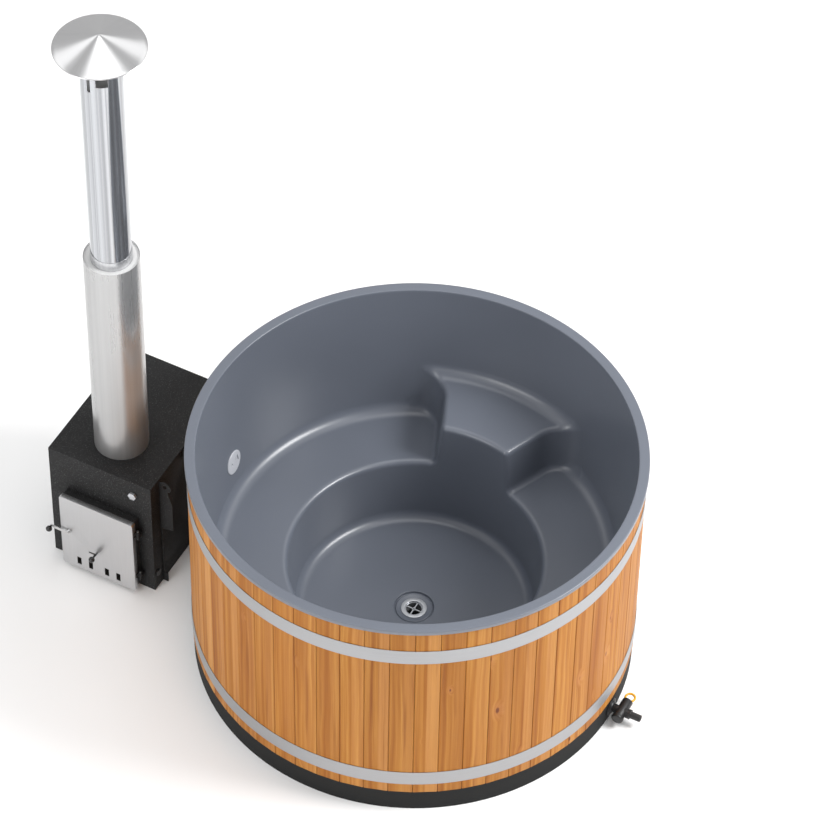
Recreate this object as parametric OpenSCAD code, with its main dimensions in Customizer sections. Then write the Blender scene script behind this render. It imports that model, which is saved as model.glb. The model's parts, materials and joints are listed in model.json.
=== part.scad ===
// Round hot tub with a moulded liner, upright timber boards and two steel hoops, heated by a
// wood-fired stove that stands beside it.
// Frame: millimetres, +Z up, origin on the tub's axis at the ground. The stove stands on the -X side
// with its door facing -Y, and the drain valve leaves the tub on the +X side.

/* [Tub] */
// Outer radius of the moulded rim
rim_r = 830; // [815:1:850]
// Height of the rim above the ground
tub_h = 1022; // [980:1:1060]
// Width of the flat top of the rim
rim_w = 39; // [34:1:46]
// Depth of the lip that turns down outside the boards
lip_h = 19; // [14:1:30]
// Thickness of the moulded shell
shell_t = 6; // [4:0.5:8]
// Slope of the tub's inside wall from upright, in degrees
wall_draft = 5.4; // [3:0.1:6]
// Height of the foot well's floor
floor_z = 148; // [140:1:170]
// Height of the seat
seat_z = 430; // [390:1:460]
// Radius of the seat's front edge
nose_r = 468; // [440:1:490]
// Slope of the foot well's wall from upright, in degrees
well_draft = 5.2; // [3:0.1:8]
// Draft of the entry step's front above the seats, in degrees
step_front_draft = 3.3; // [2:0.1:6]
// Height of the raised entry step
step_z = 620; // [580:1:660]
// Half-width of the entry step at its front, at seat height
step_half_w = 160; // [130:1:190]
// How fast the entry step widens towards the wall
step_flare = 0.43; // [0.35:0.01:0.5]
// Slope of the entry step's flanks from upright, in degrees
step_draft = 7; // [5:0.5:8]
// Radius of the hollow round the foot of the entry step
foot_fillet = 20; // [12:1:26]
// Radius of the rounded front edges
nose_fillet = 18; // [12:1:24]
// Radius of the hollow between seat and wall
seat_fillet = 48; // [30:1:60]
// Radius of the hollow round the foot well's floor
floor_fillet = 36; // [25:1:50]
// Plan radius of the hollow between entry step and wall, at seat height
step_fillet = 100; // [90:1:115]

/* [Boards and hoops] */
// Number of upright boards
board_count = 58; // [50:1:66]
// Thickness of a board
board_t = 20; // [16:1:24]
// Gap between two boards
board_gap = 0.8; // [0.4:0.1:2]
// Bevel on the outer edges of a board
board_bevel = 2.5; // [1:0.5:4]
// Turn of the first board joint from +X, in degrees
board_phase = -0.3; // [-3:0.1:3]
// Width of a hoop
hoop_w = 68; // [50:1:80]
// Thickness of a hoop's steel
hoop_t = 1.2; // [0.8:0.1:2]
// Height of the lower hoop's bottom edge
lower_hoop_z = 150; // [125:1:200]
// Distance from the boards' top end down to the upper hoop
upper_hoop_drop = 108; // [60:1:160]
// Direction of the hoop clamps from +X, in degrees
clamp_az = 100; // [60:1:140]
// Gap between a hoop's two ends
clamp_gap = 40; // [30:1:50]
// How far a clamp ear stands out
ear_h = 24; // [18:1:32]
// Thickness of a clamp ear
ear_t = 4; // [3:0.5:6]
// Radius of a clamp bolt
clamp_bolt_r = 4; // [3:0.5:5]

/* [Base] */
// Height of the black base ring
base_h = 101; // [95:1:115]
// How far the base ring stands in from the boards' outer face
base_inset = 4; // [1:1:10]
// Wall thickness of the base ring
base_wall = 8; // [6:0.5:12]
// Width of the base ring's inward flanges
base_flange_w = 34; // [26:1:44]
// Thickness of the base plate
base_plate_t = 8; // [6:0.5:12]
// Width of a floor beam
beam_w = 60; // [40:1:80]
// Distance of a floor beam from the tub's middle line
beam_y = 180; // [120:1:220]
// Width of a seat post
post_w = 50; // [40:1:70]
// Thickness of the foam round the foot well
well_foam_t = 24; // [15:1:40]

/* [Drain] */
// Radius of the dish round the drain
dish_r = 72; // [64:1:84]
// Depth of the dish
dish_depth = 8; // [5:0.5:10]
// Outer radius of the bright drain flange
drain_flange_r = 48; // [44:1:56]
// Radius of the drain's opening
drain_bore_r = 32; // [28:1:35]
// Wall thickness of the drain's threaded tail
drain_wall = 3; // [2:0.5:4]
// Height of the drain pipe's axis
drain_z = 50; // [46:1:54]
// Outer radius of the drain and return pipes
pipe_r = 25; // [22:0.5:26]
// Wall thickness of the plastic pipes
pipe_wall = 3; // [2:0.5:4]

/* [Drain valve] */
// Radius of the valve's wall flange
valve_flange_r = 35; // [31:1:38]
// Thickness of the valve's wall flange
valve_flange_t = 6; // [4:0.5:8]
// Distance of the valve's cross barrel from the base ring
barrel_reach = 46; // [42:1:55]
// Outer radius of the cross barrel
barrel_r = 20.5; // [19:0.5:23]
// Radius of the turning plug
plug_r = 15; // [14:0.5:16]
// Length of the cross barrel on the handle's side
barrel_front = 50; // [44:1:60]
// Length of the cross barrel on the cap's side
barrel_back = 30; // [26:1:36]
// Radius of the waterway through the plug
waterway_r = 10; // [8:0.5:11]
// Radius of the ring handle's centre line
ring_r = 18; // [16:0.5:20]
// Radius of the ring handle's bar
ring_bar_r = 2.6; // [2:0.1:3.5]
// Outer radius of the hose tail
tail_r = 13.5; // [12.5:0.5:15]
// Length of the hose tail
tail_l = 40; // [32:1:50]

/* [Water fitting and hoses] */
// Height of the water fitting above the stove's top
inlet_rise = 4; // [-2:1:10]
// Direction of the water fitting from +X, in degrees
inlet_az = 181.8; // [180.5:0.1:183]
// Radius of the fitting's face
inlet_face_r = 50; // [44:1:56]
// Outer radius of the water pipes to the stove
water_pipe_r = 24; // [22:0.5:25]
// Wall thickness of a rubber hose
hose_wall = 4.5; // [3:0.5:6]
// Length of a hose end that sits on a pipe
hose_cuff = 26; // [22:1:30]
// How far the tub's pipes stand out of the boards
pipe_reach = 38; // [34:1:42]
// Bend radius of the upper hose
hose_bend_r = 40; // [36:1:42]
// Slope of the upper hose's middle from level, in degrees
hose_slope = 48; // [40:1:50]
// Width of a hose clamp
hose_clamp_w = 12; // [9:1:14]

/* [Stove] */
// Gap between the boards and the stove
stove_gap = 126; // [122:1:140]
// Width of the stove
stove_w = 438; // [420:1:480]
// Depth of the stove
stove_d = 584; // [550:1:640]
// Height of the stove
stove_h = 573; // [560:1:590]
// Place of the stove's middle along Y
stove_y = 5; // [-20:1:20]
// Thickness of the casing's steel
casing_t = 3; // [2:0.5:4]
// Gap between casing and water jacket
jacket_gap = 3; // [2:0.5:6]
// Thickness of the water jacket's steel
jacket_t = 3; // [2.5:0.5:4]
// Width of the water space
water_w = 36; // [30:1:44]
// Height of the rails under the water jacket
rail_h = 18; // [14:1:22]
// Height of the water space above the firebox, with its plates
water_over = 88; // [84:1:100]
// How far the stubs stand out of the casing
stub_l = 30; // [28:1:34]
// Height of the fire grate
grate_z = 96; // [90:1:110]
// Distance from the firebox's ceiling down to the flame baffle
baffle_drop = 60; // [50:1:75]

/* [Stove door] */
// Width of the door
door_w = 316; // [300:1:330]
// Height of the door
door_h = 374; // [360:1:390]
// Depth of the door pan
door_d = 21; // [18:0.5:26]
// Height of the door's bottom edge
door_z = 20; // [12:1:28]
// Sideways shift of the door from the stove's middle
door_shift = 8; // [0:1:14]
// Corner radius of the door
door_corner = 10; // [6:1:16]
// Thickness of the door's steel
door_t = 1.5; // [1:0.1:2]
// How far the door neck stands out of the casing
neck_l = 33; // [28:1:40]
// Thickness of the door neck's steel
neck_t = 6; // [5:0.5:8]
// Margin between the door's edge and the door neck
neck_margin = 6; // [4:0.5:8]
// Thickness of the door's inner board
board_in_t = 14; // [10:0.5:15]
// Largest swing of the door, in degrees
door_swing = 110; // [90:1:120]
// Radius of a hinge knuckle
knuckle_r = 6.5; // [5.5:0.5:7]
// Radius of a hinge pin
hinge_pin_r = 3; // [2.5:0.5:3.5]
// Height of a hinge knuckle
knuckle_h = 20; // [14:1:26]

/* [Air slots and latch] */
// Width of an air slot
slot_w = 18; // [14:1:20]
// Height of an air slot
slot_h = 40; // [30:1:46]
// Distance between the two slots of a pair
slot_pitch = 50; // [46:1:56]
// Distance between the two inner slots
slot_middle = 70; // [66:1:80]
// Height of the slots' middle above the door's bottom edge
slot_rise = 42; // [38:1:50]
// Travel of the air slider
slider_travel = 25; // [22:1:28]
// Height of the slider's knob above the door's bottom edge
slider_knob_rise = 117; // [105:1:125]
// Radius of a ball knob
ball_r = 12; // [10:0.5:14]
// Radius of a knob's stem
stem_r = 4; // [3:0.5:5]
// Distance of the latch spindle from the door's left edge
latch_inset = 35; // [32:1:40]
// Height of the latch above the door's bottom edge
latch_rise = 193; // [150:1:230]
// Length of the latch lever
lever_l = 72; // [60:1:85]
// Height of the lever's bar
lever_h = 12; // [9:1:14]
// Thickness of the lever's bar
lever_t = 5; // [4:0.5:7]
// Radius of the latch spindle
spindle_r = 4; // [3:0.5:5]
// Length of the latch cam
cam_l = 30; // [28:1:32]

/* [Chimney] */
// Place of the chimney's axis behind the stove's front face
flue_inset = 166; // [150:1:190]
// Outer radius of the upper flue pipe
flue_r = 74.4; // [70:0.1:78]
// Thickness of the flue's steel
flue_t = 1; // [0.8:0.1:1.5]
// Outer radius of the outer sleeve
sleeve_r = 102; // [95:1:110]
// Height of the sleeve's top edge
sleeve_top = 1556; // [1400:1:1700]
// How far the lower flue pipe stands above the sleeve
socket_rise = 32; // [20:1:60]
// How deep the upper flue pipe sits in the lower one
socket_depth = 50; // [30:1:70]
// Height of the upper flue pipe's top edge
flue_top = 2436; // [2300:1:2500]
// Radius of the rain cap
cap_r = 163; // [150:1:175]
// Height of the rain cap's rim above the flue
cap_rise = 122; // [90:1:140]
// Height of the rain cap's cone
cap_h = 57; // [45:1:70]
// Number of cap legs
leg_count = 4; // [3:1:5]
// Width of a cap leg
leg_w = 22; // [16:1:26]

/* [Hidden] */

// Fits
seat_fit = 0.3;      // between pieces that rest on or in each other
run_fit = 0.05;      // between a turning pin and its hole
slide_fit = 0.5;     // between the air slider and what it slides between
cut = 1;             // how far a cut runs past the face that it opens

// Colours
grey_shell = [0.42, 0.46, 0.52];
timber = [0.76, 0.53, 0.31];
steel = [0.75, 0.76, 0.77];
polished = [0.85, 0.86, 0.88];
black_plastic = [0.13, 0.13, 0.14];
black_steel = [0.16, 0.16, 0.16];
rubber = [0.08, 0.08, 0.08];
foam = [0.85, 0.78, 0.55];
yellow = [0.95, 0.68, 0.15];
white_plastic = [0.88, 0.89, 0.9];
bare_timber = [0.8, 0.66, 0.45];
board_fibre = [0.7, 0.68, 0.62];

// Tub radii and heights
rim_in_r = rim_r - rim_w;
lip_t = 5;
board_r = rim_r - lip_t - 2;
board_in_r = board_r - board_t;
board_top = tub_h - shell_t - seat_fit;
hoop_in_r = board_r + seat_fit;
hoop_r = hoop_in_r + hoop_t;
upper_hoop_z = board_top - upper_hoop_drop - hoop_w;
base_r = board_r - base_inset;
board_pitch = 360 / board_count;

// Stove frame
stove_right = -(board_r + stove_gap);
stove_left = stove_right - stove_w;
stove_x = (stove_left + stove_right) / 2;
stove_front = stove_y - stove_d / 2;
stove_back = stove_y + stove_d / 2;
door_x = stove_x + door_shift;
inlet_z = stove_h + inlet_rise;

// ---------- outline helpers ----------

function arc(centre, r, from, to, steps = 8) =
    [for (i = [0:steps]) let (a = from + (to - from) * i / steps) centre + r * [cos(a), sin(a)]];

module ring(r_out, r_in, h) {
    difference() {
        cylinder(r = r_out, h = h);
        translate([0, 0, -cut]) cylinder(r = r_in, h = h + 2 * cut);
    }
}

module rounded_rect(w, h, r) {
    union() {
        square([w - 2 * r, h], center = true);
        square([w, h - 2 * r], center = true);
        for (x = [-1, 1], y = [-1, 1])
            translate([x * (w / 2 - r), y * (h / 2 - r)]) circle(r = r);
    }
}

// Places children with their Z axis along the named world direction
module along_x() { rotate([0, 90, 0]) children(); }
module along_y() { rotate([-90, 0, 0]) children(); }

$fn = 96;

// ---------- moulded liner ----------

// Radius of the inside wall, the seat front and so on at a height, for the shell's inside (off = 0)
// or for its outside (off = shell_t)
function wall_r(z, off = 0) = rim_in_r + (z - tub_h) * tan(wall_draft) + off / cos(wall_draft);
function well_r(z, off = 0) = nose_r + (z - seat_z) * tan(well_draft) + off / cos(well_draft);
function front_r(z, off = 0) =
    nose_r + (z - seat_z) * tan(step_front_draft) + off / cos(step_front_draft);

// Rounded front edge of a level surface at height z, from the well's wall to the level
function nose_arc(z, off) =
    let (cz = z - nose_fillet, cr = well_r(cz) + nose_fillet / cos(well_draft))
    arc([cr, cz], nose_fillet - off, 180 - well_draft, 90, 6);
function front_arc(z, off) =
    let (cz = z - nose_fillet, cr = front_r(cz) + nose_fillet / cos(step_front_draft))
    arc([cr, cz], nose_fillet - off, 180 - step_front_draft, 90, 6);

// Hollow between a level surface at height z and the wall
function seat_arc(z, off) =
    let (cz = z + seat_fillet, cr = wall_r(cz) - seat_fillet / cos(wall_draft))
    arc([cr, cz], seat_fillet + off, -90, -wall_draft, 8);

function floor_arc(off) =
    let (cz = floor_z + floor_fillet, cr = well_r(cz) - floor_fillet / cos(well_draft))
    arc([cr, cz], floor_fillet + off, -90, -well_draft, 8);

// The tub's hollow without the entry step, grown outwards by off
module plain_hollow(off, top) {
    rotate_extrude($fn = 180)
        polygon(concat(
            [[0, floor_z - off]], floor_arc(off), nose_arc(seat_z, off), seat_arc(seat_z, off),
            [[wall_r(top, off), top], [0, top]]));
}

// The foot well carried on up through the entry step, steeper there, with a rounded edge on top
module raised_well(off) {
    low = seat_z - 2 * nose_fillet;
    rotate_extrude($fn = 180)
        polygon(concat(
            [[0, low], [well_r(low, off), low], [well_r(seat_z, off), seat_z]], front_arc(step_z, off),
            [[0, step_z - off]]));
}

// Plan of the entry step: each flank is a slightly leaning plane that runs nearly square to the tub's
// edge and then bends round an upright cone into the wall. The cone's axis stands beside the step.
flank_n = sqrt(1 + step_flare * step_flare);
flank_y = nose_r - 8;
bite = 2;      // how far the bend runs into the wall, so that the two cross cleanly
past = 1.2;    // how far the rounded foot and edge run past the level faces, for the same reason
lean = step_half_w - step_flare * flank_y + step_fillet * flank_n;
reach = wall_r(seat_z) - step_fillet + bite;
bend_y = (sqrt(pow(reach * flank_n, 2) - lean * lean) - lean * step_flare) / pow(flank_n, 2);
bend_x = lean + step_flare * bend_y;

function flank_r(z, off) =
    step_fillet + (z - seat_z) * tan(step_draft) + off / cos(step_draft);

// Outline of the open space beside the step, from its axis out to the flank
function flank_profile(off) =
    let (
        z0 = seat_z - off,
        z1 = step_z - off,
        foot = foot_fillet + off,
        edge = nose_fillet - off,
        foot_x = flank_r(z0 + foot, off) - foot / cos(step_draft),
        edge_x = flank_r(z1 - edge, off) + edge / cos(step_draft)
    )
    concat(
        [[0, z0 - 3], [foot_x, z0 - 3]],
        arc([foot_x, z0 - past + foot], foot, -90, -step_draft, 5),
        arc([edge_x, z1 + past - edge], edge, 180 - step_draft, 90, 5),
        [[edge_x, z1 + 20], [0, z1 + 20]]);

module beside_step(off) {
    side = flank_profile(off);
    n = len(side);
    translate([bend_x, bend_y, 0])
        rotate([0, 0, -atan(step_flare)]) {
            rotate_extrude() polygon(side);
            rotate([90, 0, 0])
                linear_extrude(nose_r)
                    polygon(concat(side, [for (i = [n - 2:-1:1]) [-side[i][0], side[i][1]]]));
        }
}

module entry_step(off) {
    k = 900 / reach;
    low = seat_z - nose_fillet;
    difference() {
        translate([0, 0, low])
            linear_extrude(step_z - off - low)
                polygon([
                    [-bend_x, bend_y], [-0.35 * bend_x, 0.35 * bend_y], [0.35 * bend_x, 0.35 * bend_y],
                    [bend_x, bend_y], [k * bend_x, k * bend_y], [-k * bend_x, k * bend_y]
                ]);
        beside_step(off);
        mirror([1, 0, 0]) beside_step(off);
        raised_well(off);
    }
}

module hollow(off, top) {
    difference() {
        plain_hollow(off, top);
        entry_step(off);
    }
}

module rim() {
    bead = 4;
    top = tub_h;
    low = top - lip_h;
    rotate_extrude($fn = 180)
        polygon(concat(
            arc([rim_r - bead, top - bead], bead, 0, 90, 5),
            arc([rim_in_r + bead, top - bead], bead, 90, 180, 5),
            [[rim_in_r, top - shell_t], [rim_r - lip_t, top - shell_t], [rim_r - lip_t, low],
             [rim_r, low]]));
}

// Axis of the water fitting: origin on the inside wall, +Z pointing into the tub
module at_inlet() {
    rotate([0, 0, inlet_az - 180])
        translate([-wall_r(inlet_z), 0, inlet_z])
            rotate([0, 90 - wall_draft, 0])
                children();
}

module liner() {
    color(grey_shell)
    difference() {
        union() {
            hollow(shell_t, tub_h - shell_t / 2);
            rim();
            translate([0, 0, floor_z - dish_depth - shell_t])
                cylinder(r = dish_r + shell_t, h = dish_depth);
        }
        hollow(0, tub_h + cut);
        translate([0, 0, floor_z - dish_depth])
            cylinder(r1 = drain_flange_r + 4, r2 = dish_r, h = dish_depth + 0.001);
        cylinder(r = drain_bore_r + drain_wall + seat_fit, h = floor_z);
        at_inlet()
            translate([0, 0, -3 * shell_t])
                cylinder(r = water_pipe_r + seat_fit, h = 6 * shell_t);
    }
}

// ---------- boards and hoops ----------

// One board in plan, standing on the +X axis
module board_plan() {
    half_out = board_r * tan(board_pitch / 2) - board_gap / 2;
    half_in = board_in_r * tan(board_pitch / 2) - board_gap / 2;
    flat_r = board_r * cos(board_pitch / 2);
    polygon([
        [board_in_r, -half_in], [flat_r - board_bevel, -half_out + 0.2],
        [flat_r, -half_out + board_bevel], [flat_r, half_out - board_bevel],
        [flat_r - board_bevel, half_out - 0.2], [board_in_r, half_in]
    ]);
}

module board(i) {
    rotate([0, 0, board_phase + (i + 0.5) * board_pitch])
        translate([0, 0, base_h + seat_fit])
            linear_extrude(board_top - base_h - seat_fit)
                board_plan();
}

// Board that the pipe to the stove goes through
bored_board = floor((inlet_az - board_phase) / board_pitch);

module cladding_boards() {
    color(timber)
    for (i = [0:board_count - 1])
        if (i != bored_board) board(i);
}

module pipe_board() {
    color(timber)
    difference() {
        board(bored_board);
        at_inlet()
            translate([0, 0, -(board_r - wall_r(inlet_z)) - 30])
                cylinder(r = water_pipe_r + 2, h = board_t + 40);
    }
}

module hoop(z) {
    half_gap = clamp_gap / 2;
    difference() {
        translate([0, 0, z]) ring(hoop_r, hoop_in_r, hoop_w, $fn = 180);
        rotate([0, 0, clamp_az])
            translate([hoop_in_r - 20, -half_gap, z - cut])
                cube([40, clamp_gap, hoop_w + 2 * cut]);
    }
}

module upper_hoop() { color(steel) hoop(upper_hoop_z); }
module lower_hoop() { color(steel) hoop(lower_hoop_z); }

// Places children at each hoop clamp, X outwards from the hoop's outer face, Z at the hoop's middle
module at_clamps() {
    for (z = [lower_hoop_z, upper_hoop_z])
        rotate([0, 0, clamp_az])
            translate([hoop_r, 0, z + hoop_w / 2])
                children();
}

// An angle bracket: a foot that lies on the hoop and an ear that stands out from it
module clamp_ear() {
    foot_l = 34;
    ear_w = hoop_w - 16;
    lean = (clamp_gap / 2 + foot_l / 2) / hoop_r * 180 / PI;
    difference() {
        union() {
            translate([1.2, clamp_gap / 2, -ear_w / 2]) cube([ear_h, ear_t, ear_w]);
            rotate([0, 0, 0]) translate([1.2, clamp_gap / 2, -ear_w / 2]) cube([ear_t, 12, ear_w]);
            translate([-hoop_r, 0, -ear_w / 2])
                rotate([0, 0, lean - foot_l / 2 / hoop_r * 180 / PI])
                    rotate_extrude(angle = foot_l / hoop_r * 180 / PI, $fn = 180)
                        translate([hoop_r + seat_fit, 0]) square([ear_t, ear_w]);
        }
        translate([1.2 + ear_h / 2 + 2, 0, 0]) along_y() cylinder(r = clamp_bolt_r + seat_fit, h = 60, $fn = 48);
    }
}

module hoop_ears() {
    color(steel)
    at_clamps() {
        clamp_ear();
        mirror([0, 1, 0]) clamp_ear();
    }
}

clamp_bolt_l = clamp_gap + 2 * ear_t + 24;
clamp_nut_af = 13;

module at_clamp_bolts() {
    at_clamps()
        translate([1.2 + ear_h / 2 + 2, -clamp_gap / 2 - ear_t - seat_fit, 0])
            along_y()
                children();
}

module hoop_bolts() {
    color(steel)
    at_clamp_bolts() {
        translate([0, 0, -6]) cylinder(d = clamp_nut_af / cos(30), h = 6, $fn = 6);
        cylinder(r = clamp_bolt_r, h = clamp_bolt_l, $fn = 48);
    }
}

module hoop_nuts() {
    color(steel)
    at_clamp_bolts()
        translate([0, 0, clamp_gap + 2 * ear_t + 2 * seat_fit])
            difference() {
                cylinder(d = clamp_nut_af / cos(30), h = 7, $fn = 6);
                translate([0, 0, -cut]) cylinder(r = clamp_bolt_r + run_fit, h = 9, $fn = 48);
            }
}

// ---------- base, supports and insulation ----------

module base_ring() {
    flange_in = base_r - base_flange_w;
    color(black_plastic)
    difference() {
        rotate_extrude($fn = 180)
            polygon([
                [base_r, 0], [base_r, base_h], [flange_in, base_h], [flange_in, base_h - base_wall],
                [base_r - base_wall, base_h - base_wall], [base_r - base_wall, base_wall],
                [flange_in, base_wall], [flange_in, 0]
            ]);
        for (side = [-1, 1])
            translate([side * base_r, 0, drain_z])
                along_x()
                    translate([0, 0, -base_flange_w])
                        cylinder(r = pipe_r + seat_fit, h = 2 * base_flange_w);
    }
}

module base_plate() {
    color(black_plastic)
    cylinder(r = base_r - base_flange_w - seat_fit, h = base_plate_t, $fn = 180);
}

under_floor = floor_z - shell_t;

deck_t = 18;         // plywood under the floor and under the seats
panel_count = 24;    // foam panels and seat deck boards round the tub
panel_gap = 1;
panel_span = 360 / panel_count;

// Straight-edged sector board in plan, its corners on two radii
module sector_board(r_in, r_out) {
    half = panel_span / 2 - panel_gap / r_in * 90 / PI;
    polygon([
        r_in * [cos(half), -sin(half)], r_out * [cos(half), -sin(half)],
        r_out * [cos(half), sin(half)], r_in * [cos(half), sin(half)]
    ]);
}

// Block that carries the entry step, narrower at its top
module step_block() {
    z0 = seat_z - shell_t;
    z1 = step_z - shell_t - seat_fit;
    rise = (step_z - seat_z) * tan(step_draft) * flank_n;
    foot = [step_half_w - 10, nose_r + 14, wall_r(seat_z) - 55];
    head = [step_half_w - rise - 22, front_r(step_z) + nose_fillet + 4, wall_r(step_z) - 88];
    wide = function (p, y) p[0] + step_flare * (y - flank_y);
    corners = function (p, z) [
        [-wide(p, p[1]), p[1], z], [wide(p, p[1]), p[1], z], [wide(p, p[2]), p[2], z], [-wide(p, p[2]), p[2], z]
    ];
    polyhedron(
        concat(corners(foot, z0), corners(head, z1)),
        [[0, 1, 2, 3], [4, 7, 6, 5], [0, 4, 5, 1], [1, 5, 6, 2], [2, 6, 7, 3], [3, 7, 4, 0]]);
}

// Beams and a round deck under the floor, posts and a ring of boards under the seats
module timber_frame() {
    z0 = base_plate_t + seat_fit;
    deck_r = well_r(floor_z + floor_fillet) - floor_fillet - shell_t;
    beam_top = under_floor - deck_t - 2 * seat_fit;
    seat_top = seat_z - shell_t - seat_fit;
    post_top = seat_top - deck_t - seat_fit;
    post_r = (nose_r + wall_r(seat_z)) / 2;
    reach = sqrt(pow(deck_r - 2, 2) - pow(beam_y + beam_w / 2, 2));
    color(bare_timber) {
        for (side = [-1, 1])
            translate([-reach, side * beam_y - beam_w / 2, z0])
                cube([2 * reach, beam_w, beam_top - z0]);
        translate([0, 0, beam_top + seat_fit])
            ring(deck_r, dish_r + shell_t + 10, deck_t);
        for (a = [30, 90, 150, 210, 270, 330])
            rotate([0, 0, a])
                translate([post_r - post_w / 2, -post_w / 2, z0])
                    cube([post_w, post_w, post_top - z0]);
        for (i = [0:panel_count - 1])
            rotate([0, 0, (i + 0.5) * panel_span])
                translate([0, 0, seat_top - deck_t])
                    linear_extrude(deck_t)
                        sector_board(nose_r + nose_fillet + 4, wall_r(seat_z));
        step_block();
    }
}

// One foam panel of each ring: outside the wall, and outside the foot well
module wall_panel() {
    top = board_top - 12;
    out_r = board_in_r - seat_fit;
    knee = seat_z + seat_fillet;
    in_r = wall_r(knee, shell_t) + seat_fit;
    polygon([
        [out_r, base_h + seat_fit], [out_r, top], [wall_r(top, shell_t) + seat_fit, top],
        [in_r, knee], [in_r, base_h + seat_fit]
    ]);
}

module well_panel() {
    low = base_h;
    knee = floor_z + floor_fillet;
    top = seat_z - shell_t - deck_t - 4 * seat_fit;
    in_r = well_r(knee, shell_t) + seat_fit;
    out_r = well_r(top, shell_t) + well_foam_t;
    polygon([[out_r, low], [out_r, top], [well_r(top, shell_t) + seat_fit, top], [in_r, knee], [in_r, low]]);
}

// Foam panels between the liner and the boards, and round the foot well
module insulation() {
    color(foam)
    difference() {
        for (i = [0:panel_count - 1])
            rotate([0, 0, inlet_az + (i - 0.5) * panel_span]) {
                rotate_extrude(angle = panel_span - panel_gap / board_in_r * 180 / PI, $fn = 180) wall_panel();
                rotate_extrude(angle = panel_span - panel_gap / nose_r * 180 / PI, $fn = 180) well_panel();
            }
        at_inlet()
            translate([0, 0, -(board_r - wall_r(inlet_z)) - 10])
                cylinder(r = water_pipe_r + 2, h = board_r - wall_r(inlet_z));
        at_inlet()
            translate([0, 0, -shell_t - inlet_nut_t - 3 - 4])
                cylinder(r = inlet_nut_r + 2, h = 40);
    }
}

// ---------- drain ----------

dish_z = floor_z - dish_depth;
drain_tail_r = drain_bore_r + drain_wall;
drain_tail_l = 38;
gasket_t = 2;

module drain_flange() {
    lip = 3;
    z0 = dish_z + seat_fit;
    color(polished)
    rotate_extrude()
        polygon(concat(
            [[drain_bore_r, z0 - drain_tail_l], [drain_tail_r, z0 - drain_tail_l], [drain_tail_r, z0]],
            arc([drain_flange_r - 1, z0 + 1], 1, -90, 0, 3),
            arc([drain_flange_r - 1.5, z0 + lip - 1.5], 1.5, 0, 90, 3),
            arc([drain_bore_r + 2, z0 + lip - 2], 2, 90, 180, 4)));
}

// Cross-shaped strainer with a hub, seated in the drain's bore
module drain_strainer() {
    top = dish_z - 4;
    spoke_w = 4;
    rim_wall = 2.5;
    r = drain_bore_r - seat_fit;
    color(polished)
    translate([0, 0, top - 5]) {
        ring(r, r - rim_wall, 5);
        difference() {
            for (a = [0, 90])
                rotate([0, 0, a])
                    translate([-r + rim_wall / 2, -spoke_w / 2, 1])
                        cube([2 * r - rim_wall, spoke_w, 4]);
            cylinder(r = 3, h = 8, $fn = 32);
        }
        ring(6, 3, 5, $fn = 48);
    }
}

module drain_gasket() {
    color(rubber)
    translate([0, 0, dish_z - shell_t - seat_fit - gasket_t])
        ring(drain_tail_r + 12, drain_tail_r + seat_fit, gasket_t);
}

drain_nut_t = 10;

module drain_locknut() {
    color(black_plastic)
    translate([0, 0, dish_z - shell_t - 2 * seat_fit - gasket_t - drain_nut_t])
        difference() {
            cylinder(r = drain_tail_r + 11, h = drain_nut_t, $fn = 8);
            translate([0, 0, -cut]) cylinder(r = drain_tail_r + run_fit, h = drain_nut_t + 2 * cut);
        }
}

tee_arm = 62;
socket_l = 28;
tee_r = pipe_r + 5;

// Tee under the floor: the drain above, the valve's pipe to +X and the stove's return to -X
module drain_tee() {
    mouth_z = dish_z + seat_fit - drain_tail_l - seat_fit;
    cup_r = drain_bore_r + 6;
    color(black_plastic)
    difference() {
        union() {
            translate([-tee_arm, 0, drain_z]) along_x() cylinder(r = tee_r, h = 2 * tee_arm);
            translate([0, 0, drain_z]) cylinder(r = cup_r, h = mouth_z - drain_z);
        }
        translate([-tee_arm - cut, 0, drain_z])
            along_x() cylinder(r = pipe_r - pipe_wall, h = 2 * (tee_arm + cut));
        for (side = [-1, 1])
            translate([side * tee_arm, 0, drain_z])
                along_x()
                    translate([0, 0, -socket_l])
                        cylinder(r = pipe_r + run_fit, h = 2 * socket_l);
        translate([0, 0, drain_z]) cylinder(r = drain_bore_r - 4, h = mouth_z);
    }
}

module pipe_along_x(from, to) {
    translate([from, 0, drain_z])
        along_x()
            ring(pipe_r, pipe_r - pipe_wall, to - from);
}

pipe_start = tee_arm - socket_l + seat_fit;

module drain_pipe() {
    color(black_plastic) pipe_along_x(pipe_start, base_r);
}

return_end = board_r + pipe_reach;

module return_pipe() {
    color(black_plastic) pipe_along_x(-return_end, -pipe_start);
}

// ---------- drain valve ----------

barrel_x = base_r + barrel_reach;
flange_x = base_r + seat_fit;
neck_r = 17;
union_r = 18;
tail_x = barrel_x + barrel_r + 6;

module valve_flange() {
    hub = valve_flange_r - 9;
    color(black_plastic)
    translate([flange_x, 0, drain_z])
        along_x()
            difference() {
                union() {
                    rotate_extrude()
                        polygon(concat(
                            [[0, 0], [valve_flange_r, 0]],
                            arc([valve_flange_r - 2, valve_flange_t - 2], 2, 0, 90, 4),
                            [[hub, valve_flange_t], [hub - 3, valve_flange_t + 6], [0, valve_flange_t + 6]]));
                    translate([0, 0, -18]) cylinder(r = pipe_r - pipe_wall - run_fit, h = 18 + cut);
                }
                translate([0, 0, -18 - cut]) cylinder(r = waterway_r, h = 60);
            }
}

valve_neck_x = flange_x + valve_flange_t + 6 + seat_fit;

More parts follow.
